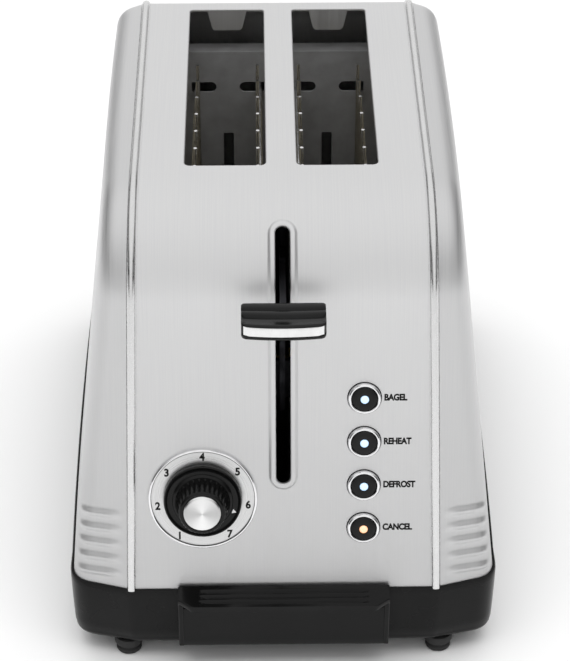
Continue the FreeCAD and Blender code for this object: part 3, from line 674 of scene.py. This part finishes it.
def lathe_rows(profile, place, count):
    """Rings of a profile of (radius, height) about an axis given by a function of (x, y, height)."""
    turns = np.linspace(0, 2 * math.pi, count, endpoint=False)
    return [[place(r * math.cos(t), r * math.sin(t), height) for t in turns] for r, height in profile]


def turned(name, profile, place, count, material, **facts):
    """An object that is one turned profile."""
    build = Build()
    build.grid(lathe_rows(profile, place, count), closed=True)
    return build.welded(name, material, **facts)


def make_feet(material):
    for node in ("foot_front_left", "foot_front_right", "foot_rear_left", "foot_rear_right"):
        low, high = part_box(node)
        cx, cy = (low.x + high.x) / 2 / MM, (low.y + high.y) / 2 / MM - CENTRING
        turned(
            node.replace("foot", "pad"), FOOT_PROFILE,
            lambda x, y, z, cx=cx, cy=cy: (cx + x, cy + y, z), 40, material,
            slot="rubber_foot", replaces=[node], sharp_over=35,
        )


# ---------------------------------------------------------------- crumb tray's front

TRAY_HALF, TRAY_LIP_CUT = 46.8, 6.5
TRAY_TOP, TRAY_LIP_Z, TRAY_FOOT = 44.0, 40.2, 13.0
TRAY_LIP_BENDS = (
    (0.25, 0.12), (0.5, 0.45), (0.55, 0.9), (0.5, 2.2), (0.2, 2.9), (-0.3, 3.2), (-4.6, 3.9), (-5.2, 4.4),
)
GROOVES, GROOVE_PITCH, GROOVE_HALF, GROOVE_DEEP, GROOVE_REACH = 3, 2.45, 0.95, 1.1, 37.5


def tray_top_drop(x, y, back):
    """How deep the grip grooves are at a place on the tray's top."""
    for n in range(GROOVES):
        middle = back - 2.7 - GROOVE_PITCH * n
        away = abs(y - middle)
        if away < GROOVE_HALF:
            ends = 1 - smooth(GROOVE_REACH - 4, GROOVE_REACH, abs(x))
            return GROOVE_DEEP * ends * math.cos(math.pi / 2 * away / GROOVE_HALF) ** 2
    return 0.0


def make_tray_front(material):
    """The tray's handle: a sloping grooved top with cut corners, a face below it and two cheeks."""
    low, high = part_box("tray_front")
    back, lip = high.y / MM - CENTRING, low.y / MM - CENTRING
    deep = back - lip
    build = Build()
    columns = np.linspace(-TRAY_HALF, TRAY_HALF, 95)
    rows = []
    for share in np.linspace(0, 1, 60):
        row = []
        for x in columns:
            reach = deep - max(0.0, abs(x) - (TRAY_HALF - TRAY_LIP_CUT)) * 0.62
            y = back - share * reach
            slope = (TRAY_TOP - TRAY_LIP_Z) * (back - y) / deep
            edge = 0.5 * smooth(TRAY_HALF - 0.8, TRAY_HALF, abs(x)) ** 2
            row.append((x, y, TRAY_TOP - slope - edge - tray_top_drop(x, y, back)))
        rows.append(row)
    front = rows[-1]
    for out, drop in TRAY_LIP_BENDS:
        rows.append([(x, max(y - out, lip), z - drop) for x, y, z in front])
    face_y = back - 4.4
    rows.append([(x, face_y, TRAY_TOP - 9.5) for x, _, _ in front])
    for z in np.linspace(TRAY_TOP - 11, TRAY_FOOT + 1.2, 8):
        rows.append([(x, face_y, z) for x, _, _ in front])
    rows.append([(x, face_y + 0.5, TRAY_FOOT) for x, _, _ in front])
    rows.append([(x, back, TRAY_FOOT) for x, _, _ in front])
    build.grid(rows)
    for way in (-1, 1):
        tray_cheek(build, way, back)
    return build.welded(
        "tray_handle", material, body="tray", slot="black_moulding", replaces=["tray_front"], sharp_over=32,
    )


def tray_cheek(build, way, back):
    """The flap that closes one end of the tray's front; it narrows downwards."""
    inner, outer = way * (TRAY_HALF - 2.2), way * TRAY_HALF
    rim = [
        (back, TRAY_TOP - 0.5), (back - 6.0, TRAY_TOP - 2.6), (back - 6.4, TRAY_TOP - 6.5),
        (back - 5.6, 26.0), (back - 5.0, 18.0), (back - 4.6, TRAY_FOOT + 0.6),
        (back - 3.6, TRAY_FOOT), (back, TRAY_FOOT),
    ]
    rounds = [(inner, 0.0), (inner + way * 0.3, -0.25)]
    rounds += [(outer - way * 0.45, -0.25), (outer - way * 0.05, 0.1), (outer, 0.5)]
    rows = []
    for x, shrink in rounds:
        rows.append([(x, min(y + shrink, back) if y < back else y, z) for y, z in rim])
    build.grid(rows, closed=True)
    build.fan(rows[-1])
    build.fan(rows[0])


# ---------------------------------------------------------------- lever handle

KNOB_HALF, KNOB_BACK, KNOB_FRONT, KNOB_LOW, KNOB_HIGH, KNOB_BOW = 17.6, -142.5, -160.0, 178.0, 186.0, 1.5
KNOB_SECTION = (
    (-142.5, 178.4), (-142.5, 185.3), (-142.9, 185.9), (-143.6, 186.0), (-146.2, 186.0), (-146.8, 185.7),
    (-147.3, 184.9), (-147.9, 184.9), (-148.4, 185.6), (-149.0, 185.8), (-151.2, 185.7), (-151.8, 185.4),
    (-152.3, 184.6), (-153.0, 184.5), (-157.6, 185.15), (-158.3, 185.4), (-159.0, 185.4), (-159.7, 185.15),
    (-159.95, 184.75), (-159.2, 184.65), (-159.2, 180.0), (-159.95, 179.85), (-160.0, 179.4),
    (-159.8, 178.7), (-159.2, 178.15), (-158.3, 178.0), (-143.1, 178.0),
)
TRIM_LOW, TRIM_HIGH, TRIM_HALF, TRIM_BEVEL = 179.95, 184.7, 16.6, 2.3


def knob_y(x, y):
    """Moves a point of the handle's section back where its front bows, and rounds its ends in plan."""
    share = (KNOB_BACK - y) / (KNOB_BACK - KNOB_FRONT)
    bow = KNOB_BOW * (x / KNOB_HALF) ** 2
    corner = max(0.0, abs(x) - (KNOB_HALF - 2.6)) / 2.6
    round_off = 2.2 * (1 - math.sqrt(max(0.0, 1 - min(corner, 1) ** 2)))
    back_round = 0.9 * (1 - math.sqrt(max(0.0, 1 - min(corner, 1) ** 2))) * (1 - share)
    return y + share * (bow + round_off) - back_round


def make_lever(black, chrome):
    build = Build()
    inner = np.linspace(-(KNOB_HALF - 2.6), KNOB_HALF - 2.6, 23)
    ends = KNOB_HALF - 2.6 + 2.6 * np.sin(np.radians(np.linspace(8, 90, 11)))
    columns = list(-ends[::-1]) + list(inner) + list(ends)
    middle_z = (KNOB_LOW + KNOB_HIGH) / 2
    rows = []
    for x in columns:
        corner = max(0.0, abs(x) - (KNOB_HALF - 0.9)) / 0.9
        squeeze = 1 - 0.12 * corner ** 2
        rows.append([(x, knob_y(x, y), middle_z + (z - middle_z) * squeeze) for y, z in KNOB_SECTION])
    build.rod(rows)
    build.welded(
        "lever_grip", black, body="carriage", slot="black_moulding",
        replaces=["lever_handle"], sharp_over=35,
    )
    make_lever_trim(chrome)


def make_lever_trim(chrome):
    """The bright strip: a flat bar whose edges and ends are bevelled."""
    build = Build()
    half_tall, middle = (TRIM_HIGH - TRIM_LOW) / 2, (TRIM_HIGH + TRIM_LOW) / 2
    below = [(0.0, -1.0), (0.55, -0.97), (0.95, -0.84), (1.0, -0.78)]
    section = below + [(out, -side) for out, side in reversed(below)]
    rows = []
    flat_half = TRIM_HALF - TRIM_BEVEL
    columns = [(-TRIM_HALF, 0.0), (-TRIM_HALF, 0.12), (-TRIM_HALF + 0.15, 0.2), (-flat_half - 0.1, 0.95)]
    columns += [(x, 1.0) for x in np.linspace(-flat_half, flat_half, 25)]
    columns += [(-x, up) for x, up in reversed(columns[:4])]
    for x, up in columns:
        bow = KNOB_BOW * (x / KNOB_HALF) ** 2
        seat = KNOB_FRONT + 0.95 + bow
        rows.append([(x, seat - 1.1 * up * out, middle + side * half_tall) for out, side in section])
    build.grid(rows, closed=True)
    build.welded(
        "lever_strip", chrome, body="carriage", slot="bright_trim", replaces=["lever_trim"], sharp_over=25,
    )


# ---------------------------------------------------------------- lift spring

SPRING_X, SPRING_Y, SPRING_LOW, SPRING_TOP, SPRING_TURNS = 9.5, -94.5, 126.65, 197.35, 26
COIL_RADIUS, COIL_WIRE = 2.6, 0.45


def make_spring(material):
    """The lift spring: a coil fixed in place between its foot and its top, riding on no body of the frame.
    """
    rows = []
    for turn in np.linspace(0, 2 * math.pi * SPRING_TURNS, SPRING_TURNS * 24 + 1):
        share = turn / (2 * math.pi * SPRING_TURNS)
        middle = SPRING_LOW + (SPRING_TOP - SPRING_LOW) * share
        ring = []
        for around in np.linspace(0, 2 * math.pi, 8, endpoint=False):
            reach = COIL_RADIUS + COIL_WIRE * math.cos(around)
            height = middle + COIL_WIRE * math.sin(around)
            ring.append((SPRING_X + reach * math.cos(turn), SPRING_Y + reach * math.sin(turn), height))
        rows.append(ring)
    build = Build()
    build.rod(rows)
    obj = build.welded(
        "carriage_spring", material, body=None, slot="spring_steel", replaces=["lift_spring"],
    )
    top, foot = (in_frame((SPRING_X, SPRING_Y, z)) for z in (SPRING_TOP, SPRING_LOW))
    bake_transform(obj)
    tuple(top)
    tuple(foot)


# ---------------------------------------------------------------- dial, buttons and their words

def on_panel(x0, z0):
    """Places points on the front: right, up along the face, and out of it."""
    y0, _, ny, nz = outline(rise(z0))

    def place(right, up, out):
        return (x0 + right, y0 + up * math.sin(LEAN) + out * ny, z0 + up * math.cos(LEAN) + out * nz)
    return place


POINTER = math.radians(-20)
SKIRT_PROFILE = (
    (3.2, 1.4), (16.4, 1.4), (16.8, 1.6), (17.0, 2.1), (17.0, 3.3), (16.85, 3.75),
    (16.45, 3.95), (16.0, 3.8), (15.7, 3.4), (15.3, 3.25), (13.6, 3.3), (13.25, 3.45),
    (13.0, 4.0), (12.6, 4.25), (12.0, 4.4), (11.85, 4.9),
)
SKIRT_FLAT = 3.3
GRIP_LOW, GRIP_HIGH, GRIP_FOOT, GRIP_HEAD, GRIP_FLUTES, FLUTE_DEEP = 4.9, 14.2, 11.8, 10.05, 28, 0.7
GRIP_RIM = ((9.85, 14.55), (9.45, 14.85), (9.0, 15.0), (8.45, 14.95), (8.25, 14.8), (8.2, 14.3))
CAP_DISC = (
    (8.15, 14.3), (8.15, 15.1), (7.95, 15.45), (7.5, 15.7), (6.8, 15.75), (5.0, 15.9),
    (2.5, 16.0), (0.05, 16.05),
)


def make_dial(black, chrome, cap_material, plate, ink):
    place = on_panel(DIAL_X, DIAL_Z)
    build = Build()
    build.grid(lathe_rows(SKIRT_PROFILE, place, 128), closed=True)
    rows = []
    for out in np.linspace(GRIP_LOW, GRIP_HIGH, 14):
        share = (out - GRIP_LOW) / (GRIP_HIGH - GRIP_LOW)
        radius = GRIP_FOOT + (GRIP_HEAD - GRIP_FOOT) * share
        depth = FLUTE_DEEP * smooth(0.0, 0.12, share) * (1 - smooth(0.93, 1.0, share))
        row = []
        for turn in np.linspace(0, 2 * math.pi, GRIP_FLUTES * 8, endpoint=False):
            wave = abs(math.cos(turn * GRIP_FLUTES / 2)) ** 0.7
            reach = radius - depth * (1 - wave)
            row.append(place(reach * math.cos(turn), reach * math.sin(turn), out))
        rows.append(row)
    rows += lathe_rows(GRIP_RIM, place, GRIP_FLUTES * 8)
    build.grid(rows, closed=True)
    build.welded(
        "dial_grip", black, body="dial", slot="black_moulding", replaces=["dial_knob"], sharp_over=38,
    )
    turned(
        "dial_disc", CAP_DISC, place, 96, cap_material,
        body="dial", slot="silver_cap", replaces=["dial_cap"], sharp_over=40,
    )
    make_pointer(place, ink)
    make_scale(place, chrome, plate)


def make_pointer(place, ink):
    """The pointed white mark on the dial's skirt."""
    build = Build()
    rows = []
    for radius in np.linspace(13.7, 15.5, 5):
        lift = SKIRT_FLAT + 0.12
        wide = 1.1 * (15.6 - radius) / 1.9
        row = []
        for side in (-wide, -wide / 3, wide / 3, wide):
            right = radius * math.cos(POINTER) - side * math.sin(POINTER)
            up = radius * math.sin(POINTER) + side * math.cos(POINTER)
            row.append(place(right, up, lift))
        rows.append(row)
    build.grid(rows)
    build.done("dial_pointer", ink, body="dial", sharp=0)


SCALE_RING = ((22.3, 0.3), (22.45, 0.9), (22.7, 1.35), (23.1, 1.5), (23.5, 1.4), (23.8, 1.0), (23.9, 0.0))
SCALE_FACE = ((13.6, -0.6), (13.6, 0.4), (13.8, 0.62), (14.1, 0.7), (22.4, 0.7))


def make_scale(place, chrome, plate):
    """The bright ring round the dial and the plate that carries its numbers."""
    turned("scale_ring", SCALE_RING, place, 128, chrome, slot="bright_trim", replaces=["dial_bezel"])
    turned(
        "scale_face", SCALE_FACE, place, 128, plate,
        slot="scale_plate", replaces=["dial_scale"], sharp_over=40,
    )


NUMBER_TURNS = {"1": 240, "2": 190, "3": 141, "4": 90, "5": 40, "6": -9, "7": -56}
NUMBER_REACH, NUMBER_REACH_LOW, NUMBER_TALL = 20.0, 20.7, 3.6
WORD_TALL, WORD_X = 2.95, 43.4


def add_text(name, words, place, right, up, tall, out, ink, align="CENTER"):
    """Printed characters as a thin mesh just proud of the surface."""
    curve = bpy.data.curves.new(name, "FONT")
    curve.body = words
    curve.align_x = align
    curve.align_y = "CENTER"
    curve.size = tall * 1.38 * MM
    curve.resolution_u = 6
    curve.offset = 0.0002
    curve.space_character = 0.96
    source = linked(name + "_source", curve)
    bpy.context.view_layer.update()
    mesh = bpy.data.meshes.new_from_object(source.evaluated_get(bpy.context.evaluated_depsgraph_get()))
    bpy.data.objects.remove(source)
    bpy.data.curves.remove(curve)
    for vertex in mesh.vertices:
        x, y = vertex.co.x / MM, vertex.co.y / MM
        narrow = 0.84 if align == "LEFT" else 0.9
        point = place(right + x * narrow, up + y, out)
        vertex.co = in_frame(point)
    mesh.materials.clear()
    mesh.materials.append(ink)
    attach(linked(name, mesh), BODY)


def make_print(ink):
    place = on_panel(DIAL_X, DIAL_Z)
    for number, degrees in NUMBER_TURNS.items():
        turn = math.radians(degrees)
        reach = NUMBER_REACH_LOW if number in "17" else NUMBER_REACH
        right, up = reach * math.cos(turn), reach * math.sin(turn)
        add_text(f"number_{number}", number, place, right, up, NUMBER_TALL, 0.74, ink)
    for n, word in enumerate(BUTTONS):
        place = on_panel(0, button_z(n))
        add_text(f"word_{word}", word.upper(), place, WORD_X, 0.1, WORD_TALL, 0.04, ink, align="LEFT")


CAP_PROFILE = (
    (0.0, -2.0), (4.2, -2.0), (5.55, -1.2), (5.55, 1.1), (5.35, 1.45), (4.9, 1.75),
    (3.4, 2.0), (2.05, 2.08), (1.95, 2.0), (1.9, 1.5),
)
RING_PROFILE = (
    (7.1, -1.2), (7.1, 0.7), (7.0, 1.15), (6.75, 1.55), (6.4, 1.75), (6.05, 1.7),
    (5.8, 1.5), (5.7, 1.2), (5.65, 0.8), (5.65, -1.2),
)
LENS_PROFILE = ((1.8, 1.4), (1.8, 2.05), (1.65, 2.25), (1.3, 2.4), (0.8, 2.48), (0.05, 2.5))


def make_buttons(black, chrome, blue, orange):
    for n, name in enumerate(BUTTONS):
        place = on_panel(BUTTON_X, button_z(n))
        body = f"button_{name}_push"
        lens, lens_slot = (orange, "lens_orange") if name == "cancel" else (blue, "lens_blue")
        parts = (
            ("face", CAP_PROFILE, black, "button_black", f"button_{name}"),
            ("rim", RING_PROFILE, chrome, "bright_trim", f"ring_{name}"),
            ("light", LENS_PROFILE, lens, lens_slot, f"lens_{name}"),
        )
        for kind, profile, material, slot, node in parts:
            turned(
                f"{name}_{kind}", profile, place, 64, material,
                body=body, slot=slot, replaces=[node], sharp_over=45,
            )


# ---------------------------------------------------------------- materials

class Graph:
    """A node tree, with short ways to add the nodes that the looks need."""

    def __init__(self, tree):
        self.tree = tree

    def add(self, kind, **settings):
        node = self.tree.nodes.new("ShaderNode" + kind)
        for name, value in settings.items():
            setattr(node, name, value)
        return node

    def join(self, source, socket):
        self.tree.links.new(source, socket)

    def place(self, output="Object"):
        """The object's own coordinates, or another output of the same node."""
        return self.add("TexCoord").outputs[output]

    def split(self, source):
        """The X, Y and Z of a vector."""
        node = self.add("SeparateXYZ")
        self.join(source, node.inputs["Vector"])
        return node.outputs

    def sum(self, operation, first, second=None):
        """A sum on one or two values: the first is a source, the second a source or a number."""
        node = self.add("Math", operation=operation)
        self.join(first, node.inputs[0])
        if isinstance(second, float):
            node.inputs[1].default_value = second
        elif second is not None:
            self.join(second, node.inputs[1])
        return node.outputs["Value"]

    def noise(self, stretch, detail=3.0, rough=0.5):
        """A noise pattern over the object's coordinates, squeezed along each axis (per metre)."""
        mapping = self.add("Mapping")
        mapping.inputs["Scale"].default_value = stretch
        pattern = self.add("TexNoise")
        for name, value in (("Scale", 1.0), ("Detail", detail), ("Roughness", rough)):
            pattern.inputs[name].default_value = value
        self.join(self.place(), mapping.inputs["Vector"])
        self.join(mapping.outputs["Vector"], pattern.inputs["Vector"])
        return pattern.outputs["Fac"]

    def ramp(self, source, low, high, start=0.35, stop=0.65, **settings):
        """A value that runs from low to high as the source runs from start to stop."""
        scale = self.add("MapRange", **settings)
        for name, value in (("From Min", start), ("From Max", stop), ("To Min", low), ("To Max", high)):
            scale.inputs[name].default_value = value
        self.join(source, scale.inputs["Value"])
        return scale.outputs["Result"]

    def shade(self, source, dark, light, start=0.35, stop=0.65):
        """A colour between two, as the source runs from start to stop."""
        blend = self.add("Mix", data_type="RGBA")
        blend.inputs["A"].default_value = (*dark, 1.0)
        blend.inputs["B"].default_value = (*light, 1.0)
        self.join(self.ramp(source, 0.0, 1.0, start, stop), blend.inputs["Factor"])
        return blend.outputs["Result"]

    def mixed(self, factor, a, b):
        """A value between two sources."""
        blend = self.add("Mix")
        for name, source in (("Factor", factor), ("A", a), ("B", b)):
            self.join(source, blend.inputs[name])
        return blend.outputs["Result"]


class Look(Graph):
    """A material put together round its shader."""

    def __init__(self, name, colour, metallic=0.0, roughness=0.4):
        self.material = bpy.data.materials.new(name)
        self.material.use_nodes = True
        super().__init__(self.material.node_tree)
        self.shader = self.tree.nodes["Principled BSDF"]
        self.fix("Base Color", (*colour, 1.0))
        self.fix("Metallic", metallic)
        self.fix("Roughness", roughness)

    def fix(self, name, value):
        """Sets one of the shader's inputs to a constant."""
        self.shader.inputs[name].default_value = value

    def drive(self, name, source):
        """Takes one of the shader's inputs from a pattern."""
        self.join(source, self.shader.inputs[name])

    def bump(self, source, strength, depth):
        """Relief from a pattern: depth in metres."""
        relief = self.add("Bump")
        relief.inputs["Strength"].default_value = strength
        relief.inputs["Distance"].default_value = depth
        self.join(source, relief.inputs["Height"])
        self.drive("Normal", relief.outputs["Normal"])


def side_facing(look):
    """1 where a surface faces sideways, 0 where it faces forwards or up."""
    sideways = look.sum("ABSOLUTE", look.split(look.place("Normal"))["X"])
    return look.ramp(sideways, 0.0, 1.0, 0.75, 0.92)


# Painted shade on the steel: full colour above the upper height, falling to a share of it at the lower
# height, in metres.
PAINTED_SHADE_FROM, PAINTED_SHADE_TO, PAINTED_SHADE_SHARE = 0.05, 0.185, 0.8


def painted_shade_below(look, colour):
    """A colour with painted shade: it loses a little brightness towards the foot of the cabinet, standing
    in for the darker reflection low on the steel.
    """
    scale = look.add("VectorMath", operation="SCALE")
    up = look.split(look.place())["Z"]
    look.join(colour, scale.inputs[0])
    look.join(look.ramp(up, PAINTED_SHADE_SHARE, 1.0, PAINTED_SHADE_FROM, PAINTED_SHADE_TO), scale.inputs["Scale"])
    return scale.outputs["Vector"]


def brushed_steel():
    """Stainless sheet with fine brushing up the front and over the top, and along the sides."""
    look = Look("cabinet steel", (0.76, 0.76, 0.76), 1.0, 0.32)
    up = look.noise((2600, 26, 26), 2.0)
    along = look.noise((30, 26, 2600), 2.0)
    lines = look.mixed(side_facing(look), up, along)
    cloud = look.noise((16, 16, 16), 2.0)
    colour = look.shade(lines, (0.735, 0.735, 0.74), (0.775, 0.775, 0.775))
    # Painted shade: the steel's colour darkens towards the foot of the cabinet.
    look.drive("Base Color", painted_shade_below(look, colour))
    grain = look.ramp(lines, 0.44, 0.54)
    look.drive("Roughness", look.mixed(look.ramp(cloud, 0.0, 0.1), grain, cloud))
    look.bump(lines, 0.05, 0.00001)
    return look.material


def bright_metal(name, colour, roughness, fine=400):
    """Polished or plated metal with faint wiping marks."""
    look = Look(name, colour, 1.0, roughness)
    marks = look.noise((fine, fine * 0.2, fine * 0.6))
    look.drive("Roughness", look.ramp(marks, roughness * 0.8, roughness * 1.35))
    look.drive("Base Color", look.shade(marks, tuple(c * 0.93 for c in colour), colour))
    return look.material


def from_axis(look, operation, x, z, out):
    """The distance or the difference of a place from a point on an axis of the front."""
    away = look.add("VectorMath", operation=operation)
    away.inputs[1].default_value = in_frame(on_panel(x, z)(0, 0, out))
    look.join(look.place(), away.inputs[0])
    return away.outputs["Value" if operation == "DISTANCE" else "Vector"]


def spun_metal(name, colour, roughness, x, z):
    """Metal turned about an axis on the front, so that its fine lines are circles."""
    look = Look(name, colour, 1.0, roughness)
    pattern = look.add("TexNoise", noise_dimensions="1D")
    pattern.inputs["Scale"].default_value = 5000
    pattern.inputs["Detail"].default_value = 3
    look.join(from_axis(look, "DISTANCE", x, z, 18), pattern.inputs["W"])
    lines = pattern.outputs["Fac"]
    look.drive("Roughness", look.ramp(lines, roughness * 0.7, roughness * 1.4))
    look.bump(lines, 0.25, 0.00002)
    return look.material


def painted_sheen_disc(name, dark, light, roughness, x, z):
    """Metal turned on a lathe and seen end on, with a painted reflection: its colour is lighter in two
    sectors and darker between them, as the shine of the turned lines would fall.
    """
    look = Look(name, light, 1.0, roughness)
    away = look.split(from_axis(look, "SUBTRACT", x, z, 16))
    turn = look.sum("ARCTAN2", away["Z"], away["X"])
    wave = look.sum("COSINE", look.sum("MULTIPLY", turn, 2.0))
    # Painted reflection: the colour runs between light and dark with the angle about the dial's axis.
    look.drive("Base Color", look.shade(wave, light, dark, -1.0, 1.0))
    return look.material


def black_plastic(name, level, roughness, grain, depth, shine=0.16):
    """Moulded plastic: almost black, with a fine skin and slight unevenness of gloss."""
    look = Look(name, (level, level, level * 1.05), 0.0, roughness)
    look.fix("Specular IOR Level", shine)
    haze = look.noise((30, 30, 30))
    look.drive("Roughness", look.ramp(haze, roughness * 0.8, roughness * 1.25))
    look.drive("Base Color", look.shade(haze, (level * 0.85,) * 3, (level * 1.35,) * 3))
    look.bump(look.noise((grain, grain, grain), 2.0), 0.15, depth)
    return look.material


def speckled(name, dark, light, roughness, scale, metallic=0.0, depth=0.00002):
    """A surface that varies between two colours in small patches."""
    look = Look(name, light, metallic, roughness)
    patches = look.noise((scale, scale, scale), 5.0, 0.6)
    look.drive("Base Color", look.shade(patches, dark, light, 0.3, 0.7))
    look.drive("Roughness", look.ramp(patches, roughness * 0.85, min(1.0, roughness * 1.2)))
    look.bump(patches, 0.2, depth)
    return look.material


def lens(name, colour, glow):
    """A small coloured lens with a lamp behind it: brightest in the middle."""
    look = Look(name, colour, 0.0, 0.15)
    facing = look.add("LayerWeight")
    facing.inputs["Blend"].default_value = 0.3
    pale = tuple(0.5 + 0.5 * c for c in colour)
    look.drive("Base Color", look.shade(facing.outputs["Facing"], pale, colour, 0.1, 0.6))
    look.fix("Emission Color", (*colour, 1.0))
    look.fix("Emission Strength", glow)
    return look.material


steel = brushed_steel()
bead_metal = bright_metal("bead metal", (0.74, 0.74, 0.74), 0.24)
chrome = bright_metal("bright trim", (0.9, 0.9, 0.91), 0.07)
strip_metal = bright_metal("lever strip", (0.82, 0.82, 0.82), 0.16)
disc_painted_sheen = painted_sheen_disc("dial disc", (0.52, 0.52, 0.52), (0.86, 0.86, 0.86), 0.25, DIAL_X, DIAL_Z)
plate_metal = spun_metal("scale plate", (0.7, 0.7, 0.7), 0.38, DIAL_X, DIAL_Z)
gloss_black = black_plastic("black moulding", 0.005, 0.16, 900, 0.00001, 0.22)
tray_black = black_plastic("tray moulding", 0.004, 0.14, 900, 0.000005, 0.2)
base_black = black_plastic("base moulding", 0.006, 0.26, 1200, 0.00002, 0.14)
satin_black = black_plastic("button black", 0.012, 0.34, 2200, 0.00001)
rubber = speckled("foot rubber", (0.012, 0.012, 0.012), (0.03, 0.03, 0.03), 0.75, 900)
ink = black_plastic("print black", 0.004, 0.6, 3000, 0.00001)
white_ink = speckled("pointer white", (0.75, 0.75, 0.75), (0.9, 0.9, 0.9), 0.45, 3000)
blue_lens = lens("lens blue", (0.42, 0.68, 1.0), 0.5)
orange_lens = lens("lens orange", (1.0, 0.42, 0.12), 0.5)

INNER = {
    "plated_steel": speckled("plated steel", (0.29, 0.29, 0.29), (0.36, 0.36, 0.365), 0.5, 150, 0.3),
    "guard_wire": bright_metal("guard wire", (0.85, 0.85, 0.85), 0.2, 800),
    "mica_sheet": speckled("mica sheet", (0.3, 0.27, 0.2), (0.5, 0.46, 0.36), 0.35, 120),
    "heating_ribbon": speckled("heating ribbon", (0.12, 0.1, 0.09), (0.3, 0.27, 0.25), 0.45, 500, 0.9),
    "brass_bush": bright_metal("brass bush", (0.72, 0.52, 0.2), 0.25),
    "spring_steel": bright_metal("spring steel", (0.45, 0.45, 0.46), 0.3, 900),
    "copper_coil": speckled("copper coil", (0.35, 0.13, 0.06), (0.62, 0.27, 0.13), 0.35, 1200, 0.8),
    "bright_shaft": bright_metal("blued shaft", (0.05, 0.05, 0.06), 0.25),
    "inner_plastic": black_plastic("heat-proof plastic", 0.03, 0.45, 1500, 0.00002),
    "circuit_board": speckled("circuit board", (0.02, 0.12, 0.05), (0.04, 0.2, 0.09), 0.4, 300),
}


# ---------------------------------------------------------------- the pieces

make_wrap(steel)
make_tabs(steel)
make_beads(bead_metal)
make_side(-1, steel)
make_side(1, steel)
make_base(base_black)
make_feet(rubber)
make_tray_front(tray_black)
make_lever(gloss_black, strip_metal)
make_spring(INNER["spring_steel"])
make_dial(gloss_black, chrome, disc_painted_sheen, plate_metal, white_ink)
make_print(ink)
make_buttons(satin_black, chrome, blue_lens, orange_lens)

def dress(obj, material):
    """Gives one of the frame's own nodes a material."""
    obj.data.materials.clear()
    obj.data.materials.append(material)


slot_of = {part["node"]: part["material_slot"] for part in frame["record"]["subparts"]}
for node, obj in frame["nodes"].items():
    if slot_of[node] in INNER:
        dress(obj, INNER[slot_of[node]])
# Painted shade: the guide rod, the lever's arm and the carriage's bracket are made near black so that the
# lever's slit, which shows them, stays as dark as shade.
painted_shade_black = bright_metal("blackened steel", (0.04, 0.04, 0.045), 0.4)
for node in ("guide_rod", "lever_arm", "carriage_bracket"):
    dress(frame["nodes"][node], painted_shade_black)


# ---------------------------------------------------------------- floor, light and camera

def stage_plane(name, corners, material):
    mesh = bpy.data.meshes.new(name)
    mesh.from_pydata(corners, [], [(0, 1, 2, 3)])
    mesh.materials.append(material)
    linked(name, mesh)


FLOOR_HALF, FLOOR_Z = 6.0, -0.0002
floor_corners = [(x * FLOOR_HALF, y * FLOOR_HALF, FLOOR_Z) for x, y in ((-1, -1), (1, -1), (1, 1), (-1, 1))]
stage_plane("floor", floor_corners, Look("floor", (0.9, 0.9, 0.9), 0.0, 0.6).material)


WORLD_LIGHT, WORLD_DARK = 0.95, 0.06
SCREEN_SIDE, SCREEN_TOP = (0.2, 0.7), (0.25, 0.75)


def studio_world():
    """A pale studio, darker low down on each side, as dark screens beside the object would make it."""
    world = bpy.data.worlds.new("studio")
    world.use_nodes = True
    graph = Graph(world.node_tree)
    way = graph.split(graph.place("Generated"))
    smooth = {"interpolation_type": "SMOOTHSTEP"}
    beside = graph.ramp(graph.sum("ABSOLUTE", way["X"]), 0.0, 1.0, *SCREEN_SIDE, **smooth)
    low_down = graph.ramp(way["Z"], 1.0, 0.0, *SCREEN_TOP, **smooth)
    dark = graph.sum("MULTIPLY", beside, low_down)
    background = world.node_tree.nodes["Background"]
    background.inputs["Color"].default_value = (1.0, 1.0, 1.0, 1.0)
    graph.join(graph.ramp(dark, WORLD_LIGHT, WORLD_DARK, 0.0, 1.0), background.inputs["Strength"])
    return world


bpy.context.scene.world = studio_world()


def area_light(name, place, aim, size, power):
    light = bpy.data.lights.new(name, "AREA")
    light.shape = "RECTANGLE"
    light.size, light.size_y = size
    light.energy = power
    obj = linked(name, light)
    obj.location = place
    obj.rotation_euler = (Vector(aim) - Vector(place)).to_track_quat("-Z", "Y").to_euler()
    obj.visible_glossy = False


area_light("overhead", (0.0, -0.2, 1.8), (0.0, 0.0, 0.0), (2.2, 1.6), 22)

CAMERA_TILT, CAMERA_FAR, CAMERA_AIM_Z = math.radians(34.1), 1.2162, 0.0754
CAMERA_X, AIM_X, FOCAL = -0.011, 0.0026, 136.2

camera_data = bpy.data.cameras.new("camera")
camera_data.sensor_width, camera_data.lens = 36.0, FOCAL
camera_data.clip_start, camera_data.clip_end = 0.05, 50.0
camera = linked("camera", camera_data)
camera.location = (
    CAMERA_X,
    CENTRING * MM - CAMERA_FAR * math.cos(CAMERA_TILT),
    CAMERA_AIM_Z + CAMERA_FAR * math.sin(CAMERA_TILT),
)
aim = Vector((AIM_X, CENTRING * MM, CAMERA_AIM_Z))
camera.rotation_euler = (aim - camera.location).to_track_quat("-Z", "Y").to_euler()
bpy.context.scene.camera = camera
bpy.context.scene.view_settings.view_transform = "Standard"
